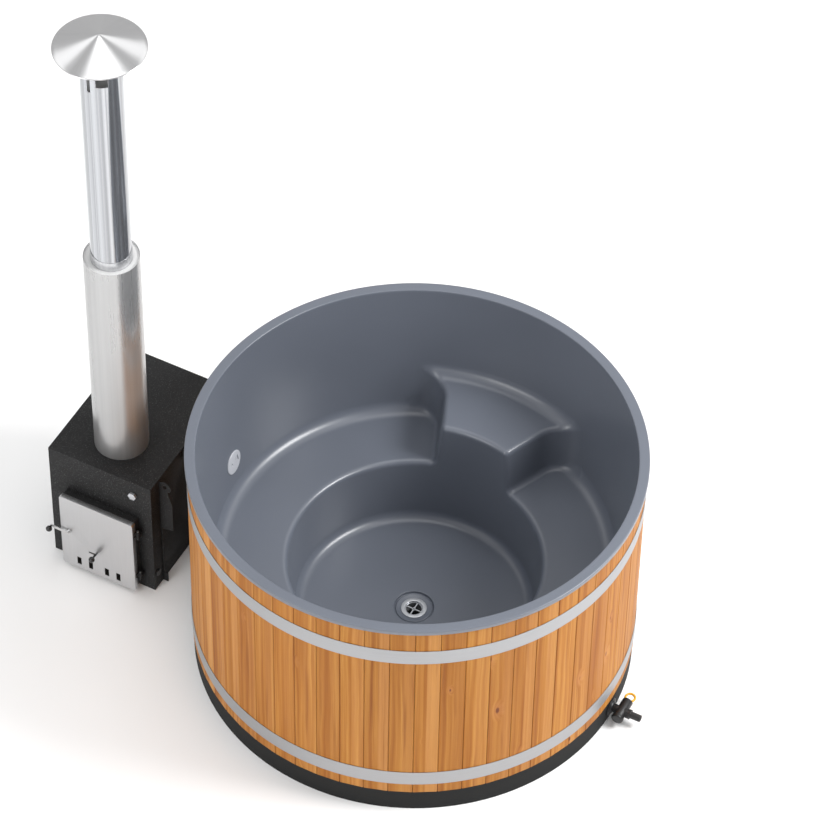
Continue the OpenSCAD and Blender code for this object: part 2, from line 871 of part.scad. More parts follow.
module valve_body() {
    color(black_plastic)
    difference() {
        union() {
            translate([valve_neck_x, 0, drain_z])
                along_x() cylinder(r = neck_r, h = barrel_x - valve_neck_x);
            translate([barrel_x, -barrel_back, drain_z])
                along_y() cylinder(r = barrel_r, h = barrel_back + barrel_front);
            translate([barrel_x, 0, drain_z])
                along_x() cylinder(r = union_r, h = barrel_r + 6);
        }
        translate([valve_neck_x - cut, 0, drain_z])
            along_x() cylinder(r = waterway_r, h = tail_x - valve_neck_x + 2 * cut);
        translate([barrel_x, -barrel_back - cut, drain_z])
            along_y() cylinder(r = plug_r + run_fit, h = barrel_back + barrel_front + 2 * cut);
    }
}

cap_skirt = 15;

module valve_end_cap() {
    cap_out = barrel_r + 2.5;
    color(black_plastic)
    translate([barrel_x, -barrel_back - seat_fit, drain_z])
        rotate([90, 0, 0])
            rotate_extrude()
                polygon(concat(
                    [[0, 0], [cap_out, 0]],
                    arc([cap_out - 6, cap_skirt - 6], 6, 0, 90, 6),
                    [[0, cap_skirt]]));
}

// Turning plug: crosswise waterway, and a slotted end for the ring handle
module valve_plug() {
    l = barrel_back + barrel_front - 2;
    color(black_plastic)
    translate([barrel_x, -barrel_back + seat_fit, drain_z])
        difference() {
            union() {
                along_y() cylinder(r = plug_r, h = l);
                translate([0, l, 0]) along_y() cylinder(r = plug_r - 2, h = 4);
            }
            translate([-plug_r - cut, barrel_back, 0])
                along_x() cylinder(r = waterway_r, h = 2 * (plug_r + cut));
            translate([-plug_r, l - 2, -ring_bar_r - seat_fit])
                cube([2 * plug_r, 10, 2 * (ring_bar_r + seat_fit)]);
        }
}

module valve_ring() {
    base_y = barrel_front + 3;
    stem_w = 14;
    color(yellow)
    translate([barrel_x, 0, drain_z])
        union() {
            translate([0, base_y + ring_r, 0])
                rotate_extrude() translate([ring_r, 0]) circle(r = ring_bar_r, $fn = 32);
            difference() {
                translate([-stem_w / 2, barrel_front - 3.4, -ring_bar_r])
                    cube([stem_w, 8, 2 * ring_bar_r]);
                translate([0, base_y + ring_r, -10]) cylinder(r = ring_r, h = 20);
            }
        }
}

module hose_tail() {
    color(black_plastic)
    translate([tail_x + seat_fit, 0, drain_z])
        along_x()
            difference() {
                union() {
                    cylinder(r = union_r + 0.5, h = 10);
                    cylinder(r = tail_r, h = 10 + tail_l);
                }
                translate([0, 0, -cut]) cylinder(r = waterway_r, h = tail_l + 20);
            }
}

// ---------- water fitting in the wall ----------

inlet_face_t = 6;
inlet_nut_t = 12;
inlet_nut_r = water_pipe_r + 12;
inlet_gasket_t = 4;
// Length of the fitting's pipe, from the inside wall to its end outside the boards
inlet_pipe_l = (board_r + pipe_reach - wall_r(inlet_z)) / cos(wall_draft) - seat_fit;

module inlet_fitting() {
    slot_len = inlet_face_r * 1.1;
    bars = 5;
    color(white_plastic)
    at_inlet()
        difference() {
            union() {
                translate([0, 0, inlet_gasket_t])
                    rotate_extrude()
                        polygon(concat(
                            [[0, 0], [inlet_face_r, 0]],
                            arc([inlet_face_r - 3, inlet_face_t - 3], 3, 0, 90, 5),
                            [[0, inlet_face_t]]));
                translate([0, 0, -inlet_pipe_l])
                    cylinder(r = water_pipe_r, h = inlet_pipe_l + inlet_gasket_t + 1);
            }
            translate([0, 0, -inlet_pipe_l - cut])
                cylinder(r = water_pipe_r - pipe_wall, h = inlet_pipe_l + inlet_gasket_t + cut);
            for (i = [0:bars - 1])
                translate([(i - (bars - 1) / 2) * 8 - 2, -13, inlet_gasket_t - cut])
                    cube([4, 26, inlet_face_t + 2 * cut]);
        }
}

// Rubber washer behind the face. It rests where the curved wall comes forward at its two sides.
module inlet_gasket() {
    washer_r = inlet_face_r - 3;
    forward = wall_r(inlet_z) - sqrt(pow(wall_r(inlet_z), 2) - pow(washer_r, 2)) + seat_fit;
    color(rubber)
    at_inlet()
        translate([0, 0, forward])
            ring(washer_r, water_pipe_r + seat_fit, inlet_gasket_t - seat_fit - forward);
}

module inlet_locknut() {
    color(black_plastic)
    at_inlet()
        translate([0, 0, -shell_t - inlet_nut_t - 2.2])
            difference() {
                cylinder(r = inlet_nut_r, h = inlet_nut_t, $fn = 8);
                translate([0, 0, -cut]) cylinder(r = water_pipe_r + run_fit, h = inlet_nut_t + 2 * cut);
            }
}

// ---------- hoses ----------

hose_in_r = water_pipe_r + seat_fit;
hose_out_r = hose_in_r + hose_wall;
inlet_end_r = board_r + pipe_reach;
inlet_end_z = inlet_z - (inlet_end_r - wall_r(inlet_z)) * tan(wall_draft);
stub_end_r = -stove_right - stub_l;
hose_straight = (stub_end_r - inlet_end_r
    - hose_bend_r * (2 * sin(hose_slope) - sin(wall_draft))) / cos(hose_slope);
hose_drop = hose_bend_r * (1 + cos(wall_draft) - 2 * cos(hose_slope))
    + hose_straight * sin(hose_slope);
stub_z = inlet_end_z - hose_drop;

// Ends and middle are thicker bands, and each covers the end of the bend beside it
band_out = 1.2;
band_in = 1;
overlap = 2;
module hose_end() {
    translate([0, 0, -overlap]) ring(hose_out_r + band_out, hose_in_r, hose_cuff + overlap);
}

// Quarter of a hose bend: starts at the origin along +Z and turns towards +X
module hose_bend(angle) {
    translate([hose_bend_r, 0, 0])
        rotate([90, 0, 180])
            rotate_extrude(angle = angle)
                translate([hose_bend_r, 0])
                    difference() {
                        circle(r = hose_out_r);
                        circle(r = hose_in_r - band_in);
                    }
}

// Where a bend of this angle ends
module after_bend(angle) {
    translate([hose_bend_r * (1 - cos(angle)), 0, hose_bend_r * sin(angle)])
        rotate([0, angle, 0])
            children();
}

// Upper hose: from the stove's stub it rises, and then levels out to meet the tub's fitting
module upper_hose() {
    color(rubber)
    rotate([0, 0, inlet_az - 180])
        translate([-stub_end_r, 0, stub_z])
            rotate([0, 0, 180]) rotate([0, -90, 0]) {
                mirror([0, 0, 1]) hose_end();
                hose_bend(hose_slope);
                after_bend(hose_slope) {
                    translate([0, 0, -overlap])
                        ring(hose_out_r + band_out, hose_in_r - 2 * band_in, hose_straight + 2 * overlap);
                    translate([0, 0, hose_straight])
                        rotate([0, 0, 180]) {
                            hose_bend(hose_slope - wall_draft);
                            after_bend(hose_slope - wall_draft) hose_end();
                        }
                }
            }
}

module lower_hose() {
    from = -stub_end_r - hose_cuff;
    to = -return_end + hose_cuff;
    color(rubber)
    translate([from, 0, drain_z])
        along_x()
            ring(pipe_r + seat_fit + hose_wall, pipe_r + seat_fit, to - from, $fn = 64);
}

// Worm clamp round a hose end, at the origin along Z
module hose_clamp(r) {
    in_r = r + seat_fit;
    ring(in_r + 1, in_r, hose_clamp_w, $fn = 64);
    difference() {
        translate([in_r + 1 - 0.5, -8, 0]) cube([8, 16, hose_clamp_w]);
        translate([0, 0, -cut]) cylinder(r = in_r, h = hose_clamp_w + 2 * cut, $fn = 64);
    }
    translate([in_r + 5, 8, hose_clamp_w / 2])
        along_y() cylinder(r = 3.4, h = 5, $fn = 24);
}

module hose_clamps() {
    inset = (hose_cuff - hose_clamp_w) / 2;
    lower_r = pipe_r + seat_fit + hose_wall;
    color(steel) {
        rotate([0, 0, inlet_az - 180]) {
            translate([-stub_end_r - hose_cuff + inset, 0, stub_z])
                along_x() rotate([0, 0, 90]) hose_clamp(hose_out_r + band_out);
            translate([-inlet_end_r, 0, inlet_end_z])
                rotate([0, 90 - wall_draft, 0])
                    translate([0, 0, inset])
                        rotate([0, 0, 90]) hose_clamp(hose_out_r + band_out);
        }
        for (x = [-stub_end_r - hose_cuff + inset, -return_end + inset])
            translate([x, 0, drain_z])
                along_x() rotate([0, 0, 90]) hose_clamp(lower_r);
    }
}

// ---------- stove body ----------

flue_y = stove_front + flue_inset;
flue_in_r = flue_r - flue_t - seat_fit;
collar_r = flue_r - flue_t - 2;
jacket_side = casing_t + jacket_gap;
jacket_w = stove_w - 2 * jacket_side;
jacket_front = stove_front + jacket_side;
jacket_d = stove_d - 2 * jacket_side;
jacket_z0 = rail_h + seat_fit;
jacket_top = stove_h - casing_t - jacket_gap;
water_wall = water_w + 2 * jacket_t;
firebox_w = jacket_w - 2 * water_wall;
firebox_z0 = jacket_z0 + 24;
firebox_z1 = jacket_top - water_over;
baffle_z = firebox_z1 - baffle_drop;
ledge_in = 40;       // how far the ledges of grate and baffle stay off the firebox's two ends
baffle_open = 130;   // the smoke's way past the baffle
collar_up = 60;      // how far the flue collar stands above the jacket
firebox_back = jacket_front + jacket_d - water_wall;
neck_w = door_w - 2 * neck_margin;
neck_z0 = door_z + neck_margin;
neck_z1 = door_z + door_h - neck_margin;
low_plug_y = 25;
low_plug_z = 82;
hex_plug_x = stove_right - 77;
hex_plug_z = stove_h - 70;

// Box from two opposite corners
module block(a, b) { translate(a) cube(b - a); }

module at_flue() { translate([stove_x, flue_y, 0]) children(); }

module stove_casing() {
    color(black_steel)
    difference() {
        block([stove_left, stove_front, 0], [stove_right, stove_back, stove_h]);
        block([stove_left + casing_t, stove_front + casing_t, -cut],
              [stove_right - casing_t, stove_back - casing_t, stove_h - casing_t]);
        block([door_x - neck_w / 2 - seat_fit, stove_front - cut, neck_z0 - seat_fit],
              [door_x + neck_w / 2 + seat_fit, stove_front + casing_t + cut, neck_z1 + seat_fit]);
        at_flue() translate([0, 0, stove_h - 20]) cylinder(r = collar_r + 2, h = 40);
        rotate([0, 0, inlet_az - 180])
            translate([stove_right - 30, 0, stub_z])
                along_x() cylinder(r = water_pipe_r + 2, h = 60);
        translate([stove_right - 30, 0, drain_z])
            along_x() cylinder(r = pipe_r + 2, h = 60);
        translate([stove_right - 30, stove_front + low_plug_y, low_plug_z])
            along_x() cylinder(r = 11, h = 60, $fn = 48);
        translate([hex_plug_x, stove_front - 20, hex_plug_z])
            along_y() cylinder(r = 10.5, h = 40, $fn = 48);
    }
}

// Stubs from the water jacket's side, through the casing, to the hoses
module stub_outside(grow) {
    inner = stove_right - jacket_side - jacket_t / 2;
    rotate([0, 0, inlet_az - 180])
        translate([inner - (grow < 0 ? 8 : 0), 0, stub_z])
            along_x()
                cylinder(r = water_pipe_r + grow, h = -stub_end_r - inner + (grow < 0 ? 8 + cut : 0));
    translate([inner - (grow < 0 ? 8 : 0), 0, drain_z])
        along_x()
            cylinder(r = pipe_r + grow, h = -stub_end_r - inner + (grow < 0 ? 8 + cut : 0));
}

module jacket_box(in) {
    block([stove_x - jacket_w / 2 + in, jacket_front + in, jacket_z0 + in],
          [stove_x + jacket_w / 2 - in, jacket_front + jacket_d - in, jacket_top - in]);
}

module firebox_box(out) {
    block([stove_x - firebox_w / 2 - out, jacket_front - cut, firebox_z0 - out],
          [stove_x + firebox_w / 2 + out, firebox_back + out, firebox_z1 + out]);
}

// Welded tank round the firebox, with a water space on every side but the front
module water_jacket() {
    ledge = 12;
    color(black_steel) {
        difference() {
            union() {
                jacket_box(0);
                stub_outside(0);
                at_flue() translate([0, 0, jacket_top - cut]) cylinder(r = collar_r, h = collar_up);
            }
            difference() {
                jacket_box(jacket_t);
                firebox_box(jacket_t);
                at_flue() translate([0, 0, firebox_z1]) cylinder(r = collar_r, h = 200);
            }
            firebox_box(0);
            at_flue() translate([0, 0, firebox_z1 - cut]) cylinder(r = collar_r - jacket_t, h = 300);
            stub_outside(-pipe_wall);
            translate([stove_right - 30, stove_front + low_plug_y, low_plug_z])
                along_x() cylinder(r = 10 + slide_fit, h = 60, $fn = 48);
            translate([hex_plug_x, stove_front - 20, hex_plug_z])
                along_y() cylinder(r = 10 + slide_fit, h = 20 + jacket_side + jacket_t + cut, $fn = 48);
        }
        for (side = [-1, 1], z = [grate_z, baffle_z])
            translate([stove_x + side * (firebox_w / 2 - ledge / 2) - ledge / 2, jacket_front + ledge_in, z - 6])
                cube([ledge, firebox_back - jacket_front - 2 * ledge_in, 6]);
    }
}

module stove_rails() {
    color(black_steel)
    for (side = [-1, 1])
        translate([stove_x + side * jacket_w * 0.35 - 15, jacket_front + 10, 0])
            cube([30, jacket_d - 20, rail_h]);
}

module fire_grate() {
    bars = 9;
    frame = 14;
    w = firebox_w - 4;
    y0 = jacket_front + ledge_in + 2;
    l = firebox_back - y0 - ledge_in - 2;
    gap = (w - 2 * frame - bars * 12) / (bars + 1);
    color(black_steel)
    translate([stove_x - w / 2, y0, grate_z + seat_fit])
        difference() {
            cube([w, l, 12]);
            for (i = [0:bars])
                translate([frame + i * (12 + gap), frame, -cut])
                    cube([gap, l - 2 * frame, 12 + 2 * cut]);
        }
}

module flame_baffle() {
    color(black_steel)
    block([stove_x - firebox_w / 2 + 2, jacket_front + ledge_in + 2, baffle_z + seat_fit],
          [stove_x + firebox_w / 2 - 2, firebox_back - baffle_open, baffle_z + seat_fit + 6]);
}

module hex_plug() {
    color(polished)
    translate([hex_plug_x, stove_front - seat_fit, hex_plug_z])
        rotate([90, 0, 0]) {
            cylinder(d = 30 / cos(30), h = 10, $fn = 6);
            translate([0, 0, -(jacket_side + jacket_t + 6)]) cylinder(r = 10, h = jacket_side + jacket_t + 7, $fn = 48);
        }
}

module jacket_drain_plug() {
    color(black_plastic)
    translate([stove_right + seat_fit, stove_front + low_plug_y, low_plug_z])
        along_x() {
            cylinder(r = 15, h = 6, $fn = 48);
            translate([0, 0, -(jacket_side + jacket_t + 6)]) cylinder(r = 10, h = jacket_side + jacket_t + 7, $fn = 48);
        }
}

// Flat steel bracket that stands square out of the side: an eye at the top, a straight strip below
module side_bracket() {
    depth = 60;
    strip_w = 54;
    eye_r = 26;
    eye_x = 24;
    eye_z = stove_h - 32;
    thick = 4;
    foot_h = 46;
    foot_w = 22;
    color(black_steel)
    translate([stove_right + seat_fit, stove_front + depth + thick, 0])
        rotate([90, 0, 0])
            linear_extrude(thick)
                difference() {
                    union() {
                        translate([eye_x, eye_z]) circle(r = eye_r, $fn = 48);
                        translate([0, eye_z - 20]) square([eye_x, 40]);
                        polygon([[0, eye_z - 241], [strip_w, eye_z - 229], [strip_w, eye_z - 89],
                                 [34, eye_z - 18], [0, eye_z - 18]]);
                        translate([0, 0.5]) square([6, eye_z - 20]);
                        translate([0, 0.5]) square([foot_w, foot_h]);
                    }
                    translate([eye_x, eye_z]) circle(r = 8, $fn = 32);
                    translate([-eye_r, eye_z - eye_r]) square([eye_r, 2 * eye_r]);
                }
}

// ---------- stove door ----------

door_back = stove_front - neck_l - 1;
door_face = door_back - door_d;
door_left = door_x - door_w / 2;
door_right = door_x + door_w / 2;
hinge_x = door_right + 8;
hinge_y = door_back + 4;
slot_z = door_z + slot_rise;
knob_z = door_z + slider_knob_rise;
knob_x = door_x - 12;
latch_x = door_left + latch_inset;
latch_z = door_z + latch_rise;
board_back = door_back - 2;
slot_xs = [-slot_middle / 2 - slot_pitch, -slot_middle / 2, slot_middle / 2, slot_middle / 2 + slot_pitch];

// Steel collar round the firebox mouth, with a slot in its left wall that the latch cam swings into
module door_neck() {
    w_in = neck_w - 2 * neck_t;
    cam_swing = norm([cam_l, cam_half]);
    cam_drop = sqrt(pow(cam_swing, 2) - pow(latch_inset - neck_margin - neck_t, 2));
    color(black_steel)
    difference() {
        block([door_x - neck_w / 2, stove_front - neck_l, neck_z0],
              [door_x + neck_w / 2, jacket_front - seat_fit, neck_z1]);
        block([door_x - w_in / 2, stove_front - neck_l - cut, neck_z0 + neck_t],
              [door_x + w_in / 2, jacket_front, neck_z1 - neck_t]);
        block([door_x - neck_w / 2 - cut, cam_y - cam_t - 2, latch_z - cam_drop - 3],
              [door_x - w_in / 2 + cut, cam_y + 2, latch_z + 10]);
    }
}

// Places a flat outline, drawn in X and Z about the door's middle, at a depth, running back to +Y
module door_outline_at(y, depth) {
    translate([door_x, y, door_z + door_h / 2])
        rotate([90, 0, 0])
            translate([0, 0, -depth])
                linear_extrude(depth)
                    children();
}

module air_slots(y, depth) {
    for (x = slot_xs)
        translate([door_x + x - slot_w / 2, y, slot_z - slot_h / 2])
            cube([slot_w, depth, slot_h]);
}

stem_slot = stem_r + slide_fit;

// Slot that the slider's stem runs in
module stem_slot(y, depth) {
    translate([knob_x - slider_travel, y, knob_z - stem_slot]) cube([slider_travel, depth, 2 * stem_slot]);
    for (x = [knob_x - slider_travel, knob_x])
        translate([x, y, knob_z]) along_y() cylinder(r = stem_slot, h = depth, $fn = 48);
}

module spindle_hole(y, depth) {
    translate([latch_x, y, latch_z]) along_y() cylinder(r = spindle_r + run_fit, h = depth, $fn = 48);
}

module door_pan() {
    color(steel)
    difference() {
        door_outline_at(door_face, door_d) rounded_rect(door_w, door_h, door_corner);
        door_outline_at(door_face + door_t, door_d)
            rounded_rect(door_w - 2 * door_t, door_h - 2 * door_t, door_corner - door_t);
        air_slots(door_face - cut, door_t + 2 * cut);
        stem_slot(door_face - cut, door_t + 2 * cut);
        spindle_hole(door_face - cut, door_t + 2 * cut);
    }
}

// Insulating board inside the pan
module door_board() {
    fit = door_t + seat_fit;
    color(board_fibre)
    difference() {
        door_outline_at(board_back - board_in_t, board_in_t)
            rounded_rect(door_w - 2 * fit, door_h - 2 * fit, door_corner - door_t);
        air_slots(board_back - board_in_t - cut, board_in_t + 2 * cut);
        spindle_hole(board_back - board_in_t - cut, board_in_t + 2 * cut);
    }
}

module door_gasket() {
    y0 = board_back + 0.1;
    y1 = stove_front - neck_l - seat_fit;
    color(rubber)
    difference() {
        block([door_x - neck_w / 2 + 0.5, y0, neck_z0 + 0.5], [door_x + neck_w / 2 - 0.5, y1, neck_z1 - 0.5]);
        block([door_x - neck_w / 2 + neck_t, y0 - cut, neck_z0 + neck_t],
              [door_x + neck_w / 2 - neck_t, y1 + cut, neck_z1 - neck_t]);
    }
}

hinge_zs = [door_z + 50, door_z + door_h - 90];

module at_hinges() {
    for (z = hinge_zs)
        translate([hinge_x, hinge_y, z])
            children();
}

module knuckle() {
    difference() {
        cylinder(r = knuckle_r, h = knuckle_h, $fn = 48);
        translate([0, 0, -cut]) cylinder(r = hinge_pin_r + run_fit, h = knuckle_h + 2 * cut, $fn = 48);
    }
}

// Lower knuckle of each hinge, on an arm from the casing
module fixed_knuckles() {
    arm_w = 8;
    color(black_steel)
    at_hinges() {
        knuckle();
        difference() {
            translate([-arm_w / 2, hinge_pin_r + 1, 0])
                cube([arm_w, stove_front - seat_fit - hinge_y - hinge_pin_r - 1, knuckle_h]);
            translate([0, 0, -cut]) cylinder(r = knuckle_r - 1, h = knuckle_h + 2 * cut, $fn = 48);
        }
    }
}

// Upper knuckle of each hinge, with a leaf on the door's edge
module door_knuckles() {
    leaf_t = 4;
    color(black_steel)
    at_hinges()
        translate([0, 0, knuckle_h + seat_fit]) {
            knuckle();
            difference() {
                translate([-(hinge_x - door_right) + seat_fit, -door_d - 4 + 8, 0])
                    cube([leaf_t, door_d - 8, knuckle_h]);
                translate([0, 0, -cut]) cylinder(r = hinge_pin_r + run_fit, h = knuckle_h + 2 * cut, $fn = 48);
            }
            difference() {
                translate([-(hinge_x - door_right) + seat_fit, -9, 0])
                    cube([8, 5, knuckle_h]);
                translate([0, 0, -cut]) cylinder(r = hinge_pin_r + run_fit, h = knuckle_h + 2 * cut, $fn = 48);
            }
        }
}

module hinge_pins() {
    color(steel)
    at_hinges() {
        translate([0, 0, -3]) cylinder(r = hinge_pin_r, h = 2 * knuckle_h + 3 + 2 * seat_fit, $fn = 48);
        translate([0, 0, 2 * knuckle_h + 2 * seat_fit]) cylinder(r = hinge_pin_r + 2, h = 3, $fn = 48);
    }
}

// ---------- latch ----------

cam_t = 5;
cam_half = 6;
cam_y = stove_front - neck_l + 11;
lever_y = door_face - seat_fit - 5 - lever_t;

// Lever outside the door: a boss, a flat bar that tapers, and a hole for the spindle
module latch_lever() {
    color(steel)
    difference() {
        union() {
            translate([latch_x, lever_y, latch_z]) along_y() cylinder(r = 9, h = lever_t + 5, $fn = 48);
            translate([latch_x, lever_y + lever_t, latch_z])
                rotate([90, 0, 0])
                    linear_extrude(lever_t)
                        polygon(concat(
                            [[0, -lever_h / 2 - 1], [0, lever_h / 2 + 1]],
                            arc([-lever_l, 0], lever_h / 2, 90, 270, 10)));
        }
        translate([latch_x, lever_y - cut, latch_z])
            along_y() cylinder(r = spindle_r + run_fit, h = lever_t + 10, $fn = 48);
    }
}

// Ball knob with a short stem that stands forward of the piece it is on
module ball_knob(stem_l) {
    rotate([90, 0, 0]) {
        rotate_extrude()
            polygon(concat(
                [[0, 0], [stem_r, 0]],
                arc([0, stem_l + ball_r * 0.94], ball_r, asin(stem_r / ball_r) - 90, 90, 16)));
    }
}

module latch_knob() {
    color(black_plastic)
    translate([latch_x - lever_l, lever_y - seat_fit, latch_z]) ball_knob(4);
}

// Spindle through the door, with the cam that turns behind the neck's slot
module latch_spindle() {
    color(steel)
    difference() {
        union() {
            translate([latch_x, lever_y - 2, latch_z])
                along_y() cylinder(r = spindle_r, h = cam_y - lever_y + 4, $fn = 48);
            translate([latch_x, cam_y, latch_z])
                rotate([90, 0, 0])
                    linear_extrude(cam_t)
                        polygon(concat(arc([0, 0], 8, 0, 180, 10), [[-cam_half, -cam_l], [cam_half, -cam_l]]));
        }
    }
}

// ---------- air slider ----------

slider_t = 2;
slider_y = door_face + door_t + slide_fit;
slider_z0 = door_z + 15;
slider_z1 = knob_z + 12;

module air_slider() {
    half = slot_middle / 2 + slot_pitch + slot_w / 2 + 10;
    color(steel)
    difference() {
        block([door_x - half, slider_y, slider_z0], [door_x + half, slider_y + slider_t, slider_z1]);
        air_slots(slider_y - cut, slider_t + 2 * cut);
        translate([knob_x, slider_y - cut, knob_z])
            along_y() cylinder(r = stem_r + run_fit, h = slider_t + 2 * cut, $fn = 48);
    }
}

module slider_knob() {
    stem_l = 28;
    root = slider_y + slider_t - 0.2;
    color(black_plastic)
    translate([knob_x, root, knob_z]) ball_knob(root - door_face + stem_l - ball_r);
}

module slider_guides() {
    l = door_w - 2 * door_t - 12;
    guide_y = door_face + door_t + seat_fit;
    guide_t = board_back - board_in_t - guide_y - seat_fit;
    color(steel) {
        block([door_x - l / 2, guide_y, slider_z1 + slide_fit], [door_x + l / 2, guide_y + guide_t, slider_z1 + 8]);
        block([door_x - l / 2, guide_y, slider_z0 - 7], [door_x + l / 2, guide_y + guide_t, slider_z0 - slide_fit]);
    }
}

// ---------- chimney ----------

lower_top = sleeve_top + socket_rise;
lower_r = flue_r + flue_t + seat_fit;

module lower_flue_pipe() {
    color(steel)
    at_flue() translate([0, 0, stove_h + seat_fit]) ring(lower_r, lower_r - flue_t, lower_top - stove_h - seat_fit);
}

// Upper flue pipe, its top edge notched for the draught
module upper_flue_pipe() {
    notch_w = 14;
    notch_h = 30;
    low = lower_top - socket_depth;
    color(polished)
    at_flue()
        difference() {
            translate([0, 0, low]) ring(flue_r, flue_r - flue_t, flue_top - low);
            for (i = [0:leg_count - 1])
                rotate([0, 0, leg_az + i * 360 / leg_count])
                    translate([0, 0, rivet_z])
                        along_x() cylinder(r = rivet_r + run_fit, h = 2 * flue_r, $fn = 24);
            for (i = [0:leg_count - 1])
                rotate([0, 0, leg_az + (i + 0.5) * 360 / leg_count]) {
                    translate([flue_r - 8, -notch_w / 2, flue_top - notch_h + notch_w / 2])
                        cube([16, notch_w, notch_h]);
                    translate([flue_r - 8, 0, flue_top - notch_h + notch_w / 2])
                        along_x() cylinder(d = notch_w, h = 16, $fn = 32);
                }
        }
}

module outer_sleeve() {
    color(steel)
    at_flue() translate([0, 0, stove_h + seat_fit]) ring(sleeve_r, sleeve_r - flue_t, sleeve_top - stove_h - seat_fit);
}

// Small strips that keep the sleeve centred on the flue
module sleeve_spacers() {
    inner = lower_r + seat_fit;
    outer = sqrt(pow(sleeve_r - flue_t - seat_fit, 2) - 49);
    color(steel)
    at_flue()
        for (z = [stove_h + 60, sleeve_top - 110], a = [90, 210, 330])
            rotate([0, 0, a])
                translate([inner, -7, z]) {
                    cube([outer - inner, 14, 1.5]);
                    translate([0, 0, 0]) cube([1.5, 14, 20]);
                    translate([outer - inner - 1.5, 0, 0]) cube([1.5, 14, 20]);
                }
}

leg_az = 20;
cap_z = flue_top + cap_rise;
cap_t = 1;
leg_r = flue_r - flue_t - seat_fit;
leg_t = 1.5;
leg_low = flue_top - 50;
// A flat leg touches the round flue with its two long edges
leg_out = sqrt(pow(leg_r, 2) - pow(leg_w / 2, 2));
rivet_r = 2;
rivet_z = leg_low + 14;

function cone_z(r) = cap_z + cap_h * (1 - r / cap_r);

module rain_cap() {
    color(polished)
    at_flue()
        rotate_extrude($fn = 180)
            polygon([[cap_r, cap_z], [cap_r, cap_z + cap_t], [0, cap_z + cap_h + cap_t], [0, cap_z + cap_h]]);
}

// Legs: strips inside the flue that turn outwards under the cone
module cap_legs() {
    foot = 30;
    tilt = atan(cap_h / cap_r);
    in_x = leg_out - leg_t;
    color(steel)
    at_flue()
        for (i = [0:leg_count - 1])
            rotate([0, 0, leg_az + i * 360 / leg_count])
                difference() {
                    union() {
                        translate([in_x, -leg_w / 2, leg_low])
                            cube([leg_t, leg_w, cone_z(leg_out) - leg_low - 2.2]);
                        translate([in_x, -leg_w / 2, cone_z(in_x) - 2.4])
                            rotate([0, tilt, 0])
                                cube([foot, leg_w, leg_t]);
                    }
                    translate([0, 0, rivet_z]) along_x() cylinder(r = rivet_r + run_fit, h = 200, $fn = 24);
                }
}

// Rivets through flue and legs, with a head on each side
module cap_rivets() {
    in_x = leg_out - leg_t - 0.1;
    color(steel)
    at_flue()
        for (i = [0:leg_count - 1])
            rotate([0, 0, leg_az + i * 360 / leg_count])
                translate([0, 0, rivet_z])
                    along_x()
                        translate([0, 0, in_x]) {
                            cylinder(r = rivet_r, h = flue_r + 0.5 - in_x, $fn = 24);
                            translate([0, 0, -1]) cylinder(r = 2 * rivet_r, h = 1, $fn = 24);
                            translate([0, 0, flue_r + 0.1 - in_x]) cylinder(r = 2 * rivet_r, h = 1.2, $fn = 24);
                        }
}

liner();
cladding_boards();
pipe_board();
upper_hoop();
lower_hoop();
hoop_ears();
hoop_bolts();
hoop_nuts();
base_ring();
base_plate();
timber_frame();
insulation();
drain_flange();
drain_strainer();
drain_gasket();
drain_locknut();
drain_tee();
drain_pipe();
return_pipe();
valve_flange();
valve_body();
valve_end_cap();
valve_plug();
valve_ring();
hose_tail();
inlet_fitting();
inlet_gasket();
inlet_locknut();
upper_hose();
lower_hose();
hose_clamps();
stove_casing();
water_jacket();
stove_rails();
fire_grate();
flame_baffle();
door_neck();
door_pan();
door_board();
door_gasket();
fixed_knuckles();
door_knuckles();
hinge_pins();
latch_lever();
latch_knob();
latch_spindle();
air_slider();
slider_knob();
slider_guides();
hex_plug();
side_bracket();
jacket_drain_plug();
lower_flue_pipe();
upper_flue_pipe();
outer_sleeve();
sleeve_spacers();
rain_cap();
cap_legs();
cap_rivets();
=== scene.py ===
"""Looks of the wood-clad hot tub with its side stove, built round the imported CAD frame.

The frame is in metres, +Z up. Sizes in this script are in millimetres, as in the part's source.
"""

import json
import math

import bmesh
import bpy
import numpy as np
from mathutils import Matrix, Vector


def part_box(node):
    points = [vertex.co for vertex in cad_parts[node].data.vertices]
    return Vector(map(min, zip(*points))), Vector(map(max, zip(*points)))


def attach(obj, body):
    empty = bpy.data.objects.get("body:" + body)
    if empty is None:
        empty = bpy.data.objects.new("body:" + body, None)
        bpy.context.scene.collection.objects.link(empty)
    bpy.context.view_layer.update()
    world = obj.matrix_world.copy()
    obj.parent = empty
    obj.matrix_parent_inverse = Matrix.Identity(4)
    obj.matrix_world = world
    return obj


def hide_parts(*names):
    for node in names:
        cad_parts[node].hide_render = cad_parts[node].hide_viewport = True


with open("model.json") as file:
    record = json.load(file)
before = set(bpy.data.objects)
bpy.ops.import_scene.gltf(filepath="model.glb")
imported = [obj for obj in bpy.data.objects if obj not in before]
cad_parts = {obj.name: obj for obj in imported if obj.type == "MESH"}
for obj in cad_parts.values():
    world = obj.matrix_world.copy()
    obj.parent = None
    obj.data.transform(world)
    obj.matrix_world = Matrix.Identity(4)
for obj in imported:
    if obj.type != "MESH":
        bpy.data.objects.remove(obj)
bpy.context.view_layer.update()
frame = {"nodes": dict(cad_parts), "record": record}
NODES = frame["nodes"]
SCENE = bpy.context.scene
BODY_OF = {node: body for body, nodes in frame["record"]["behaviour"]["bodies"].items() for node in nodes}

# ---------------------------------------------------------------- sizes, in millimetres and degrees

MM = 0.001


def tan(deg):
    return math.tan(math.radians(deg))


def corners(node):
    """Lowest and highest corner of a node's box, to a tenth of a millimetre."""
    return [[round(c / MM, 1) for c in corner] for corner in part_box(node)]


